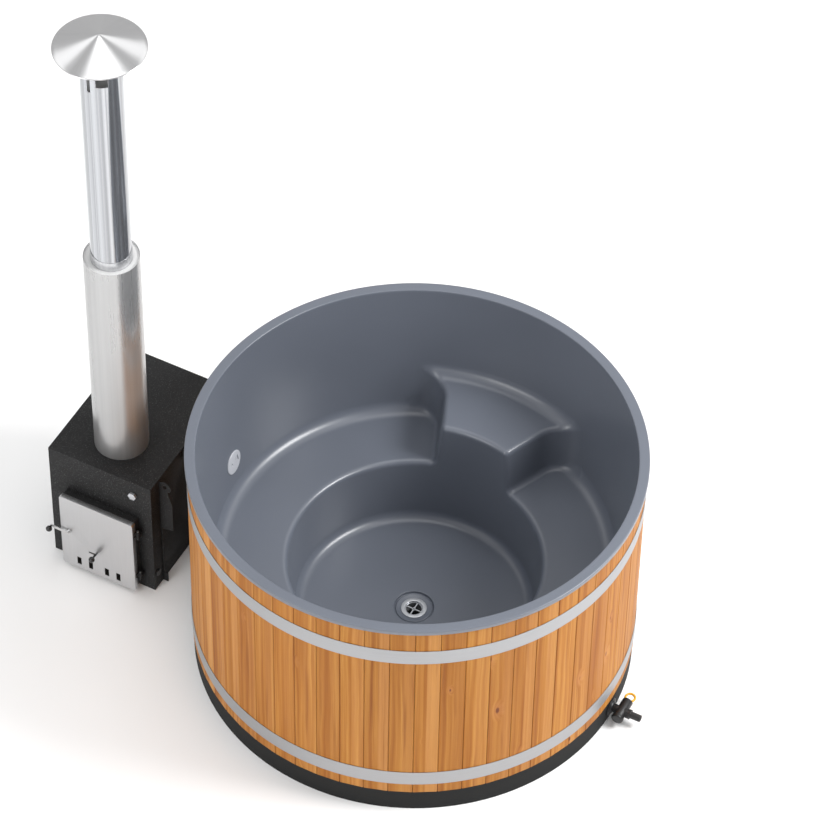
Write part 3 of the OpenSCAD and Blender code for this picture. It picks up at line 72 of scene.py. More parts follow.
# tub: the rim, the lip that hangs from it outside the boards, and the shell
LINER_HIGH = corners("liner")[1]
TUB_AXIS = (0, 0)
RIM_R, TUB_H = LINER_HIGH[0], LINER_HIGH[2]
RIM_IN_R, RIM_BEAD = 791, 4
LIP_H, LIP_T, SHELL_T = 19, 5, 6

# inside of the tub: slopes from upright, levels, and the fillets between them
WALL_DRAFT, WELL_DRAFT, FRONT_DRAFT = 5.4, 5.2, 3.3
FLOOR_Z, SEAT_Z, STEP_Z = 148, 430, 620
NOSE_R, NOSE_FILLET = 468, 18
SEAT_FILLET, FLOOR_FILLET, FOOT_FILLET = 46, 36, 20
SEAT_WALL_R = RIM_IN_R + (SEAT_Z - TUB_H) * tan(WALL_DRAFT)

# entry step: its half width near the nose and where that is, then how its flanks widen, lean and bend
STEP_HALF, STEP_HALF_R = 160, NOSE_R - 8
STEP_FLARE, STEP_DRAFT, STEP_BEND = 0.43, 7.0, 100

# drain: the hole, and the depth of the dish round it
DRAIN_R = 34
DISH_RADII = (49, 57, 63, 66, 68, 70, 72.5, 73.8, 75.5)
DISH_DEPTHS = (8, 6.2, 4.6, 4.2, 6.5, 9.5, 9.2, 4, 0)

# cladding
BOARD_COUNT, BOARD_PHASE, BOARD_R = 58, -0.3, 823

# water fitting: direction and height in the wall, and its face, hole and pipe
INLET_AZ, INLET_Z = 181.8, 577
INLET_WALL_R, INLET_FACE_R, INLET_FACE_T = 749, 48, 5.0
INLET_HOLE_R, WATER_PIPE_R, WATER_PIPE_T = 34, 24, 3

# chimney
SHEET_T = 1
CAP_LOW, CAP_HIGH = corners("rain_cap")
CAP_R, CAP_Z = (CAP_HIGH[0] - CAP_LOW[0]) / 2, CAP_LOW[2]
CAP_H = CAP_HIGH[2] - CAP_Z - SHEET_T
FLUE = ((CAP_LOW[0] + CAP_HIGH[0]) / 2, (CAP_LOW[1] + CAP_HIGH[1]) / 2)
FLUE_LOW, FLUE_TOP = (corner[2] for corner in corners("upper_flue_pipe"))
FLUE_R, SOCKET_R, SLEEVE_R = 74.4, 75.7, 102
SLEEVE_TOP = corners("outer_sleeve")[1][2]

# ring handle of the drain valve
VALVE_RING = (865, 71, 50)

# ---------------------------------------------------------------- materials


class Nodes:
    """A short way to write a node tree, a material's or the world's."""

    def __init__(self, owner, shader):
        owner.use_nodes = True
        self.owner = owner
        self.tree = owner.node_tree
        self.shader = self.tree.nodes[shader]

    def add(self, kind, **sets):
        """Adds a node. A name that isn't one of its properties is one of its sockets."""
        node = self.tree.nodes.new(kind)
        for key, value in sets.items():
            if hasattr(node, key):
                setattr(node, key, value)
            else:
                node.inputs[key.replace("_", " ")].default_value = value
        return node

    def feed(self, value, target):
        """Feeds a number, colour or another node's output into a socket."""
        if isinstance(value, bpy.types.NodeSocket):
            self.tree.links.new(value, target)
        else:
            target.default_value = value

    def set(self, **sets):
        for key, value in sets.items():
            self.feed(value, self.shader.inputs[key.replace("_", " ")])

    def math(self, op, a, b=0.0, clamp=False):
        node = self.add("ShaderNodeMath", operation=op, use_clamp=clamp)
        self.feed(a, node.inputs[0])
        self.feed(b, node.inputs[1])
        return node.outputs[0]

    def plus(self, a, b, clamp=False):
        return self.math("ADD", a, b, clamp)

    def minus(self, a, b, clamp=False):
        return self.math("SUBTRACT", a, b, clamp)

    def times(self, a, b, clamp=False):
        return self.math("MULTIPLY", a, b, clamp)

    def vector_math(self, op, a, b):
        node = self.add("ShaderNodeVectorMath", operation=op)
        self.feed(a, node.inputs[0])
        self.feed(b, node.inputs[1])
        return node.outputs

    def vector(self, x, y, z):
        node = self.add("ShaderNodeCombineXYZ")
        for value, target in zip((x, y, z), node.inputs):
            self.feed(value, target)
        return node.outputs[0]

    def channels(self, color):
        node = self.add("ShaderNodeSeparateColor")
        self.feed(color, node.inputs[0])
        return node.outputs

    def place(self):
        return self.add("ShaderNodeTexCoord").outputs["Object"]

    def coords(self, scale, at=None):
        node = self.add("ShaderNodeMapping", Scale=scale)
        self.feed(at or self.place(), node.inputs["Vector"])
        return node.outputs[0]

    def about(self, centre):
        """Angle round an upright axis, height, and distance from the axis."""
        axis = (centre[0] * MM, centre[1] * MM, 0)
        node = self.add("ShaderNodeSeparateXYZ")
        self.feed(self.vector_math("SUBTRACT", self.place(), axis)[0], node.inputs[0])
        x, y, z = node.outputs
        reach = self.math("SQRT", self.plus(self.times(x, x), self.times(y, y)))
        return self.math("ARCTAN2", y, x), z, reach

    def noise(self, scale, detail=2.0, rough=0.5, at=None):
        node = self.add("ShaderNodeTexNoise", Scale=scale, Detail=detail, Roughness=rough)
        self.feed(at or self.place(), node.inputs["Vector"])
        return node.outputs["Fac"]

    def spread(self, fac, low, high, to_low=0.0, to_high=1.0, **sets):
        """Maps one range of values on another."""
        node = self.add("ShaderNodeMapRange", **sets)
        for value, target in zip((fac, low, high, to_low, to_high), node.inputs):
            self.feed(value, target)
        return node.outputs[0]

    def ramp(self, fac, *stops):
        node = self.add("ShaderNodeValToRGB")
        elements = node.color_ramp.elements
        while len(elements) < len(stops):
            elements.new(0.5)
        for element, (position, color) in zip(elements, stops):
            element.position = position
            element.color = color
        self.feed(fac, node.inputs[0])
        return node.outputs[0]

    def mix(self, fac, a, b, blend="MIX"):
        node = self.add("ShaderNodeMix", data_type="RGBA", blend_type=blend)
        for value, place in ((fac, 0), (a, 6), (b, 7)):
            self.feed(value, node.inputs[place])
        return node.outputs[2]

    def layers(self, base, *coats):
        """Lays colours over a base, each by its own share."""
        for share, color in coats:
            base = self.mix(share, base, color)
        return base

    def bump(self, height, strength, distance):
        node = self.add("ShaderNodeBump", Strength=strength, Distance=distance)
        self.feed(height, node.inputs["Height"])
        self.set(Normal=node.outputs[0])


def material(name):
    return Nodes(bpy.data.materials.new(name), "Principled BSDF")


def srgb(r, g, b):
    """A photograph's 0-255 colour as a linear one."""
    def one(c):
        c /= 255
        return c / 12.92 if c <= 0.04045 else ((c + 0.055) / 1.055) ** 2.4
    return (one(r), one(g), one(b), 1)


def scaled(color, k):
    return (color[0] * k, color[1] * k, color[2] * k, 1)


def moulded(name, color, rough, grain=0.0002, coat=0.0):
    """Moulded plastic: a slight change of tone, and a fine surface."""
    n = material(name)
    cloud = n.noise(6, 3)
    fine = n.noise(720, 2)
    n.set(Base_Color=n.mix(n.spread(cloud, 0.3, 0.7), scaled(color, 0.94), scaled(color, 1.05)))
    n.set(Roughness=n.spread(fine, 0.3, 0.7, rough - 0.03, rough + 0.03))
    n.bump(fine, 0.25, grain)
    if coat:
        n.set(Coat_Weight=coat, Coat_Roughness=0.12)
    return n.owner


def acrylic():
    """Grey shell: faint clouds and fine pale specks under a thin gloss."""
    n = material("acrylic_shell")
    color = srgb(99, 104, 114)
    cloud = n.noise(2.5, 2)
    speck = n.noise(900, 2)
    tone = n.mix(n.spread(cloud, 0.3, 0.7), scaled(color, 0.95), scaled(color, 1.05))
    n.set(Base_Color=n.mix(n.spread(speck, 0.35, 0.65, 0, 0.35), tone, scaled(color, 1.25)))
    n.set(Roughness=n.spread(speck, 0.3, 0.7, 0.3, 0.36))
    n.bump(speck, 0.06, 0.0003)
    n.set(Coat_Weight=0.2, Coat_Roughness=0.2, Specular_IOR_Level=0.6)
    return n.owner


def board_knots(n, board):
    """A sparse field of cells: the heart of each knot, and the wider ring that the grain bends round."""
    cells = n.add("ShaderNodeTexVoronoi", feature="F1", voronoi_dimensions="3D", Scale=1)
    n.feed(n.coords((7.5, 3.2, 1), board), cells.inputs["Vector"])
    luck = n.channels(cells.outputs["Color"])
    chosen = n.math("GREATER_THAN", luck[0], 0.6)
    size = n.spread(luck[1], 0, 1, 0.03, 0.07)

    def near(reach):
        share = n.math("DIVIDE", cells.outputs["Distance"], reach)
        return n.times(chosen, n.minus(1.0, share, clamp=True), clamp=True)

    return near(size), near(n.times(size, 3.2))


def board_wood():
    """Boards round the tub: each has its own tone, grain along its length, and a few knots."""
    n = material("board_wood")
    turn, height, _ = n.about(TUB_AXIS)
    turn = n.minus(n.plus(n.math("DEGREES", turn), 360.0), BOARD_PHASE)
    place = n.math("DIVIDE", turn, 360 / BOARD_COUNT)
    index = n.math("FLOOR", place)
    across = n.minus(n.minus(place, index), 0.5)
    chance = n.add("ShaderNodeTexWhiteNoise", noise_dimensions="1D")
    n.feed(index, chance.inputs["W"])
    luck = n.channels(chance.outputs["Color"])

    # flat board coordinates: across in metres, along in metres, and a place of its own for each board
    width = 2 * math.pi * BOARD_R * MM / BOARD_COUNT
    along = n.plus(height, n.times(luck[1], 31.0))
    board = n.vector(n.times(across, width), along, n.times(index, 3.7))
    knot, halo = board_knots(n, board)
    bend = n.noise(5, 2, at=n.coords((1, 0.5, 1), board))
    shift = n.plus(n.times(bend, 0.018), n.times(halo, 0.03))
    flow = n.vector_math("ADD", board, n.vector(shift, 0, 0))[0]

    def drawn_out(detail, rough, *scale):
        return n.noise(1, detail, rough, at=n.coords(scale, flow))

    grain = drawn_out(3, 0.6, 230, 2.2, 1)
    rings = drawn_out(2, 0.5, 70, 0.9, 1)
    fibre = drawn_out(2, 0.6, 900, 14, 1)
    streak = drawn_out(2, 0.5, 46, 1.3, 2)

    # two tones in most boards, as if sawn through the middle of the trunk
    half = n.spread(n.plus(across, n.spread(luck[0], 0, 1, -0.12, 0.12)), -0.03, 0.03)
    light, mid, dark = srgb(192, 137, 66), srgb(175, 116, 48), srgb(153, 92, 31)
    base = n.layers(
        n.ramp(n.spread(rings, 0.3, 0.72), (0.0, light), (0.5, mid), (1.0, dark)),
        (n.times(half, n.spread(luck[2], 0, 1, 0.1, 0.7)), srgb(205, 150, 88)),
        (n.spread(streak, 0.6, 0.74, 0, 0.6), srgb(126, 66, 20)),
        (n.spread(grain, 0.4, 0.7, 0, 0.22), dark),
        (n.spread(fibre, 0.4, 0.75, 0, 0.14), srgb(108, 62, 24)),
    )
    tints = ((0.0, srgb(236, 224, 214)), (0.35, srgb(246, 240, 230)), (0.7, srgb(255, 250, 240)))
    tint = n.ramp(chance.outputs["Value"], *tints, (1.0, srgb(255, 255, 255)))
    edge = n.spread(n.math("ABSOLUTE", across), 0.485, 0.5)
    base = n.layers(
        n.mix(1.0, base, tint, "MULTIPLY"),
        (n.times(halo, 0.4), srgb(196, 134, 84)),
        (n.times(knot, 2.0, clamp=True), srgb(112, 60, 34)),
        (n.times(edge, 0.35), srgb(70, 38, 16)),
    )
    n.set(Base_Color=base, Roughness=n.spread(grain, 0.3, 0.7, 0.5, 0.62), Specular_IOR_Level=0.2)
    n.bump(n.plus(n.times(grain, 0.7), n.times(fibre, 0.3)), 0.25, 0.0004)
    return n.owner


def plain_wood(name, color):
    n = material(name)
    grain = n.noise(1, 4, 0.6, at=n.coords((3, 60, 60)))
    n.set(Base_Color=n.mix(n.spread(grain, 0.3, 0.7), color, scaled(color, 0.72)), Roughness=0.7)
    n.bump(grain, 0.3, 0.0006)
    return n.owner


def round_marks(centre, around, along, out=1.0):
    """Coordinates wrapped round an upright axis, for marks that run round or along a pipe."""
    def marks(n):
        turn, height, reach = n.about(centre)
        return n.vector(n.times(turn, around), n.times(height, along), n.times(reach, out))
    return marks


def straight_marks(*scale):
    """Coordinates stretched along the object's axes."""
    return lambda n: n.coords(scale)


def metal(name, color, rough, marks, uneven=0.08, tone=0.1, bump=0.12, metallic=1.0, bore_r=None):
    """Bare metal. marks gives coordinates stretched along the brushing. A flue's bore is painted pale and
    dull: painted light that brightens its shaded inside.
    """
    n = material(name)
    line = n.noise(1, 4, 0.65, at=marks(n))
    cloud = n.noise(3, 3)
    base = n.mix(n.spread(line, 0.3, 0.7), scaled(color, 1 - tone), scaled(color, 1 + 0.3 * tone))
    smear = n.times(n.spread(cloud, 0.3, 0.7, -0.5, 0.5), uneven)
    gloss = n.spread(line, 0.3, 0.7, rough - uneven / 2, rough + uneven / 2)
    gloss = n.plus(gloss, smear, clamp=True)
    if bore_r:
        bore = n.spread(n.about(FLUE)[2], bore_r * MM, (bore_r - 0.2) * MM)
        # painted light: the pale, dull colour stands in for sky reflected down the flue's shaded bore
        base = n.mix(bore, base, (0.8, 0.8, 0.8, 1))
        gloss = n.spread(bore, 0, 1, gloss, 0.8)
        metallic = n.spread(bore, 0, 1, metallic, 0.0)
    n.set(Base_Color=base, Roughness=gloss, Metallic=metallic)
    if bump:
        n.bump(line, bump, 0.00006)
    return n.owner


def speckled_black():
    """Heat-proof black paint with a fine sandy texture."""
    n = material("sandy_black_paint")
    sand = n.noise(1100, 3, 0.7)
    coarse = n.noise(420, 2)
    cloud = n.noise(5, 3)
    n.set(Base_Color=n.layers(
        n.mix(n.spread(cloud, 0.3, 0.7), srgb(16, 16, 17), srgb(23, 23, 24)),
        (n.spread(sand, 0.48, 0.66, 0, 0.25), srgb(60, 60, 60)),
        (n.spread(n.noise(330, 1), 0.66, 0.71, 0, 0.55), srgb(130, 130, 130)),
    ))
    n.set(Roughness=n.spread(coarse, 0.3, 0.7, 0.58, 0.75), Specular_IOR_Level=0.35)
    n.bump(n.plus(sand, coarse), 0.55, 0.0007)
    return n.owner


def sooty(name, color, rough):
    """Black deposits in soft clouds on a rough surface."""
    n = material(name)
    cloud = n.noise(14, 5, 0.6)
    n.set(Base_Color=n.mix(n.spread(cloud, 0.35, 0.7), color, scaled(color, 0.5)), Roughness=rough)
    n.bump(n.noise(300, 3), 0.3, 0.0005)
    return n.owner


MATS = {
    "acrylic": acrylic(),
    "boards": board_wood(),
    "timber": plain_wood("bare_timber", srgb(214, 182, 132)),
    "paint": speckled_black(),
    "soot": sooty("sooty_steel", srgb(52, 50, 48), 0.75),
    "board_fibre": sooty("fire_board", srgb(52, 49, 45), 0.9),
    "base": moulded("base_plastic", srgb(6, 7, 7), 0.85, 0.0003),
    "plastic": moulded("black_plastic", srgb(24, 24, 25), 0.42, 0.0003),
    "pipe": moulded("pipe_plastic", srgb(56, 58, 60), 0.4),
    "white": moulded("white_plastic", srgb(190, 192, 198), 0.35),
    "yellow": moulded("yellow_plastic", srgb(232, 166, 12), 0.35, coat=0.2),
    "rubber": moulded("black_rubber", srgb(26, 26, 27), 0.75, 0.0004),
    "knob": moulded("knob_plastic", srgb(18, 18, 19), 0.22, 0.0001, coat=0.3),
    "foam": moulded("foam", srgb(226, 208, 150), 0.9, 0.002),
    "bolt": metal("bolt_steel", srgb(206, 207, 208), 0.3, straight_marks(300, 300, 300)),
    "lever": metal("lever_steel", srgb(214, 214, 214), 0.25, straight_marks(20, 400, 400)),
    "hoop": metal(
        "hoop_steel", srgb(169, 170, 172), 0.45, round_marks(TUB_AXIS, 3, 700),
        bump=0.05, metallic=0.85,
    ),
    "sleeve": metal(
        "satin_sleeve", srgb(187, 187, 187), 0.28, round_marks(FLUE, 5, 0.2),
        uneven=0.02, tone=0.1, bump=0, metallic=0.72, bore_r=SLEEVE_R - 0.4,
    ),
    "socket": metal(
        "satin_pipe", srgb(200, 201, 203), 0.26, round_marks(FLUE, 6, 0.2),
        uneven=0.02, tone=0.16, bump=0, metallic=0.7, bore_r=SOCKET_R - 0.5,
    ),
    # polished pipe: its strong dark upright streaks (tone 0.6) are partly streaks of polish, partly painted
    # reflection of dark bands round the pipe
    "mirror": metal(
        "polished_pipe", srgb(200, 202, 206), 0.1, round_marks(FLUE, 5, 0.05),
        uneven=0.02, tone=0.6, bump=0, metallic=0.85, bore_r=FLUE_R - 0.5,
    ),
    "cap": metal(
        "brushed_cap", srgb(210, 210, 211), 0.19, round_marks(FLUE, 22, 3, 2),
        uneven=0.04, tone=0.04, bump=0.04,
    ),
    "door": metal(
        "satin_door", srgb(206, 206, 207), 0.36, straight_marks(900, 4, 6),
        uneven=0.06, tone=0.06, bump=0.08,
    ),
    "chrome": metal(
        "polished_drain", srgb(206, 208, 212), 0.34, straight_marks(200, 200, 200),
        uneven=0.06, tone=0.05, metallic=0.7,
    ),
    # near-white and hardly metallic: partly the ring's own colour, partly painted light for the bright
    # reflection in the sleeve's gap
    "ring": metal(
        "pale_ring", srgb(225, 225, 225), 0.5, straight_marks(200, 200, 200),
        uneven=0.05, tone=0.04, bump=0.03, metallic=0.1,
    ),
}

NODES_IN = {
    "acrylic": "liner",
    "boards": "cladding_boards pipe_board",
    "timber": "timber_frame",
    "paint": "stove_casing door_neck fixed_knuckles door_knuckles side_bracket",
    "soot": "water_jacket stove_rails fire_grate flame_baffle air_slider slider_guides",
    "board_fibre": "door_board",
    "base": "base_ring base_plate",
    "plastic": "valve_flange valve_body valve_end_cap valve_plug hose_tail jacket_drain_plug",
    "pipe": "drain_locknut drain_tee drain_pipe return_pipe inlet_locknut",
    "white": "inlet_fitting",
    "yellow": "valve_ring",
    "rubber": "drain_gasket inlet_gasket upper_hose lower_hose door_gasket",
    "knob": "latch_knob slider_knob",
    "foam": "insulation",
    "bolt": "hoop_bolts hoop_nuts hose_clamps hinge_pins sleeve_spacers cap_legs cap_rivets",
    "lever": "latch_lever latch_spindle",
    "hoop": "upper_hoop lower_hoop hoop_ears",
    "sleeve": "outer_sleeve",
    "socket": "lower_flue_pipe",
    "mirror": "upper_flue_pipe",
    "cap": "rain_cap",
    "door": "door_pan",
    "chrome": "drain_flange drain_strainer hex_plug",
}
MAT_OF = {node: mat for mat, nodes in NODES_IN.items() for node in nodes.split()}

for name, obj in NODES.items():
    obj.data.materials.clear()
    obj.data.materials.append(MATS[MAT_OF[name]])

# ---------------------------------------------------------------- mesh helpers


def dress(name, mesh, mat, body, sharp=None):
    """Makes a mesh a piece of a body, smooth but for edges over the sharp angle."""
    mesh.materials.clear()
    mesh.materials.append(MATS[mat])
    mesh.polygons.foreach_set("use_smooth", [True] * len(mesh.polygons))
    if sharp:
        mesh.set_sharp_from_angle(angle=math.radians(sharp))
    obj = bpy.data.objects.new(name, mesh)
    SCENE.collection.objects.link(obj)
    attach(obj, body)
    return obj


def piece(name, verts, faces, mat, body, sharp=None):
    """A piece from points in millimetres."""
    mesh = bpy.data.meshes.new(name)
    mesh.from_pydata((np.array(verts) * MM).tolist(), [], faces)
    return dress(name, mesh, mat, body, sharp)


def stands_for(obj, *nodes):
    """Hides the nodes that a piece replaces."""
    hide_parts(*nodes)


def softened(node, width):
    """Puts a copy with rounded edges in a node's place."""
    bm = bmesh.new()
    bm.from_mesh(NODES[node].data)
    bmesh.ops.remove_doubles(bm, verts=bm.verts, dist=1e-6)
    bmesh.ops.dissolve_limit(bm, angle_limit=math.radians(0.5), verts=bm.verts, edges=bm.edges)
    edges = [e for e in bm.edges if len(e.link_faces) == 2 and e.calc_face_angle() > math.radians(25)]
    bmesh.ops.bevel(
        bm, geom=edges, offset=width * MM, segments=3, profile=0.5, affect="EDGES", clamp_overlap=True,
    )
    mesh = bpy.data.meshes.new(node + "_edged")
    bm.to_mesh(mesh)
    bm.free()
    stands_for(dress(node + "_edged", mesh, MAT_OF[node], BODY_OF[node], sharp=32), node)


def circle(count):
    """Angles of points evenly spaced round a circle."""
    return [2 * math.pi * i / count for i in range(count)]


def bow(centre, r, start, end, count):
    """Points of an arc in (radius, height), from one angle in degrees to another."""
    turns = np.radians(np.linspace(start, end, count))
    return [(centre[0] + r * math.cos(turn), centre[1] + r * math.sin(turn)) for turn in turns]


def quads(rows, width, ring=True, closed=True):
    """Faces of a grid of points. A ring joins its last row to its first, and closed rows join their ends."""
    faces = []
    for i in range(rows if ring else rows - 1):
        j = (i + 1) % rows
        for k in range(width if closed else width - 1):
            m = (k + 1) % width
            faces.append((i * width + k, j * width + k, j * width + m, i * width + m))
    return faces


def stepped(stretches, end):
    """Values at the step of each stretch, from its start to the next one's."""
    stops = [start for start, _ in stretches[1:]] + [end]
    return np.concatenate([np.arange(start, stop, step) for (start, step), stop in zip(stretches, stops)])


# ---------------------------------------------------------------- liner

# where each stretch of the grid starts, and its step: close over the dish, nose, wall and step's flanks
RADIUS_STEPS = ((DRAIN_R, 0.6), (84, 3.0), (425, 0.35), (520, 2.0), (690, 0.35))
RAY_STEPS = ((0, 1.5), (50, 0.2), (80, 1), (100, 0.2), (130, 1.5))
RAY_POINTS = 260
FAR = 1000


def join_round(a, b, r):
    """Distance to the union of two solids, its hollow corner filled to radius r."""
    u, v = np.maximum(r - a, 0), np.maximum(r - b, 0)
    return np.maximum(r, np.minimum(a, b)) - np.hypot(u, v)


def meet_round(a, b, r):
    """Distance to the common part of two solids, its edge rounded to radius r."""
    u, v = np.maximum(r + a, 0), np.maximum(r + b, 0)
    return np.minimum(-r, np.maximum(a, b)) + np.hypot(u, v)


def draft_from(base, draft, r, z):
    """Distance in from a cone that has radius base at the seat's height."""
    return ((base + (z - SEAT_Z) * tan(draft)) - r) * math.cos(math.radians(draft))


def step_flanks(x, y, z):
    """Distance outside the step's flanks: a leaning plane that bends round an upright cone into the wall."""
    n = math.hypot(1, STEP_FLARE)
    lean = STEP_HALF - STEP_FLARE * STEP_HALF_R + STEP_BEND * n
    # the cone's axis, so that the bend runs out 2 mm behind the wall's face
    reach = SEAT_WALL_R - STEP_BEND + 2
    axis_y = (math.sqrt((reach * n) ** 2 - lean**2) - lean * STEP_FLARE) / n**2
    axis_x = lean + STEP_FLARE * axis_y
    px, py = np.abs(x) - axis_x, y - axis_y
    out = (px * STEP_FLARE + py) / n
    side = (py * STEP_FLARE - px) / n
    away = np.where(out > 0, np.hypot(px, py), side)
    flank = (STEP_BEND + (z - SEAT_Z) * tan(STEP_DRAFT) - away) * math.cos(math.radians(STEP_DRAFT))
    sector = (np.abs(x) * axis_y - y * axis_x) / math.hypot(axis_x, axis_y)
    return np.maximum.reduce([flank, sector, np.where(y > 0, -FAR, FAR)])


def liner_ledge(x, y, z):
    """Signed distance to the floor, seats and step, positive in the water."""
    r = np.hypot(x, y)
    well = draft_from(NOSE_R, WELL_DRAFT, r, np.minimum(z, SEAT_Z))
    riser = np.where(z > SEAT_Z, draft_from(NOSE_R, FRONT_DRAFT, r, z), well)
    floor = z - (FLOOR_Z - np.interp(r, DISH_RADII, DISH_DEPTHS))
    step = meet_round(z - STEP_Z, step_flanks(x, y, z), NOSE_FILLET)
    top = join_round(z - SEAT_Z, step, FOOT_FILLET)
    return join_round(floor, meet_round(top, riser, NOSE_FILLET), FLOOR_FILLET)


def root(field, x, y):
    """Height where a field changes sign, over each point of the plan."""
    low, high = np.full(x.shape, FLOOR_Z - 40.0), np.full(x.shape, TUB_H + 30.0)
    for _ in range(26):
        mid = (low + high) / 2
        below = field(x, y, mid) < 0
        low, high = np.where(below, mid, low), np.where(below, high, mid)
    return (low + high) / 2


def liner_height(x, y):
    """Height of the inside face. The hollow at the wall follows the level below it."""
    base = root(liner_ledge, x, y)

    def with_wall(x, y, z):
        wall = draft_from(SEAT_WALL_R, WALL_DRAFT, np.hypot(x, y), z)
        return join_round(z - base, wall, SEAT_FILLET)

    return root(with_wall, x, y)


def liner_ray(radii, heights):
    """Points of (radius, height) up one ray, evenly spaced but closer in the dish."""
    inside = heights < TUB_H - RIM_BEAD - 0.5
    r, z = radii[inside], heights[inside]
    gone = np.cumsum(np.hypot(np.diff(r), np.diff(z)) * np.where(r[1:] < 80, 4, 1))
    gone = np.concatenate([[0], gone])
    spaced = np.linspace(0, gone[-1], RAY_POINTS)
    return np.stack([np.interp(spaced, gone, r), np.interp(spaced, gone, z)], 1)


def rim_profile():
    """Over the top of the rim, down the outside of its lip, and back up inside it."""
    inner, outer = RIM_IN_R + RIM_BEAD, RIM_R - RIM_BEAD
    bead_z, lip_z, under_z = TUB_H - RIM_BEAD, TUB_H - LIP_H, TUB_H - SHELL_T
    lip_in = RIM_R - LIP_T
    inner_edge = bow((inner, bead_z), RIM_BEAD, 180, 90, 5)
    top = [(r, TUB_H) for r in np.linspace(inner + 6, outer - 2, 5)]
    outer_edge = bow((outer, bead_z), RIM_BEAD, 90, 0, 6)
    lip = [(RIM_R, lip_z + 1), (RIM_R - 1, lip_z), (lip_in + 1, lip_z), (lip_in, lip_z + 1)]
    under = [(lip_in, under_z), (RIM_IN_R + 7, under_z)]
    return inner_edge + top + outer_edge + lip + under


def in_inlet_hole(points):
    """Which points lie in the wall's hole for the water fitting."""
    c, s = math.cos(math.radians(INLET_AZ)), math.sin(math.radians(INLET_AZ))
    x, y, z = points.T
    near_side = x * c + y * s > 0
    return near_side & (np.hypot(y * c - x * s, z - INLET_Z) < INLET_HOLE_R)


def build_liner():
    turns = np.radians(stepped(RAY_STEPS, 360))
    radii = stepped(RADIUS_STEPS, RIM_IN_R)
    a, r = np.meshgrid(turns, radii, indexing="ij")
    heights = np.minimum(liner_height(r * np.cos(a), r * np.sin(a)), TUB_H - RIM_BEAD)
    rim = rim_profile()
    rows = []
    for turn, ray in zip(turns, heights):
        r, z = np.concatenate([liner_ray(radii, ray), rim]).T
        rows.append(np.stack([r * math.cos(turn), r * math.sin(turn), z], 1))
    verts = np.concatenate(rows)
    faces = np.array(quads(len(rows), len(rows[0]), closed=False))
    middles = (verts[faces[:, 0]] + verts[faces[:, 2]]) / 2
    faces = faces[~in_inlet_hole(middles)]
    stands_for(piece("tub_shell", verts, faces.tolist(), "acrylic", "tub"), "liner")


build_liner()

# ---------------------------------------------------------------- chimney

# top of the upper pipe: three tabs and three gaps, one gap towards the photograph's camera, and a slot
# beside each gap, given as the angle to its middle, its half width and its depth
GAP_FACING, GAP_EVERY, GAP_HALF = -57, 120, 17
SLOT_TURN, SLOT_HALF, SLOT_DEPTH = 38, 6.5, 24


def crown(turn):
    """Height of the upper pipe's top at an angle."""
    a = (turn - GAP_FACING + GAP_EVERY / 2) % GAP_EVERY - GAP_EVERY / 2
    if abs(a) < GAP_HALF:
        return FLUE_TOP
    across = math.radians(a + SLOT_TURN) * FLUE_R
    if abs(across) < SLOT_HALF:
        return FLUE_TOP - SLOT_DEPTH - math.sqrt(SLOT_HALF**2 - across**2)
    return CAP_Z + CAP_H * (1 - FLUE_R / CAP_R) - 0.6


def round_flue(turn, outline):
    """Places points of (radius, height) at an angle round the flue's axis."""
    c, s = math.cos(turn), math.sin(turn)
    return [(FLUE[0] + r * c, FLUE[1] + r * s, z) for r, z in outline]


def turned(name, outline, mat, steps=180):
    """A solid of revolution round the flue's axis, from a closed outline of (radius, height)."""
    verts = [point for turn in circle(steps) for point in round_flue(turn, outline)]
    return piece(name, verts, quads(steps, len(outline)), mat, "tub", sharp=35)


def build_pipe():
    turns = np.arange(0, 360, 0.5)
    verts = []
    for turn in turns:
        outside = [(FLUE_R, FLUE_LOW), (FLUE_R, FLUE_TOP - 40), (FLUE_R, crown(turn))]
        inside = [(r - SHEET_T, z) for r, z in reversed(outside)]
        verts += round_flue(math.radians(turn), outside + inside)
    obj = piece("crowned_pipe", verts, quads(len(turns), 6), "mirror", "tub", sharp=40)
    stands_for(obj, "upper_flue_pipe", "cap_legs", "cap_rivets")


def build_cap():
    """Cone of thin sheet with a rolled edge and a blunt tip."""
    slope, tip, edge_r = CAP_H / CAP_R, CAP_Z + CAP_H, 2.6
    skin = [(0.05, tip + 0.2), (3, tip - 0.6)]
    skin += [(r, tip + 1 - r * slope) for r in (7, 12, 40, 80, 120, 150)]
    edge = bow((CAP_R - edge_r, CAP_Z - 0.4), edge_r, 70, -190, 14)
    under = [(r, tip - 0.3 - r * slope) for r in (150, 80, 20, 0.05)]
    stands_for(turned("cap_cone", skin + edge + under, "cap"), "rain_cap")


def build_gap_ring():
    """Pressed ring that closes the sleeve's gap just below its rim. Its near-white colour is partly painted
    light: it stands in for the bright reflection down the gap.
    """
    z = SLEEVE_TOP - 9
    foot, fold = z - 5, 0.8
    inner, outer = SOCKET_R + 0.4, SLEEVE_R - 1.4
    under = [(inner + fold, foot), (inner + 2 * fold, z), (outer - 2 * fold, z), (outer - fold, foot)]
    over = [(outer, foot), (outer, z), (outer - 1.5, z + 1), (inner + 1.5, z + 1), (inner, z), (inner, foot)]
    turned("gap_ring", under + over, "ring", 144)


def build_tube(name, node, r, mat):
    """A plain pipe of thin sheet with a softly rounded upper rim."""
    lo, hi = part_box(node)
    low, top = lo.z / MM, hi.z / MM
    rim = bow((r - SHEET_T / 2, top - SHEET_T / 2), SHEET_T / 2, 0, 180, 7)
    stands_for(turned(name, [(r, low)] + rim + [(r - SHEET_T, low)], mat), node)


build_tube("smooth_sleeve", "outer_sleeve", SLEEVE_R, "sleeve")
build_tube("smooth_socket", "lower_flue_pipe", SOCKET_R, "socket")
build_pipe()
build_cap()
build_gap_ring()

# ---------------------------------------------------------------- small fittings

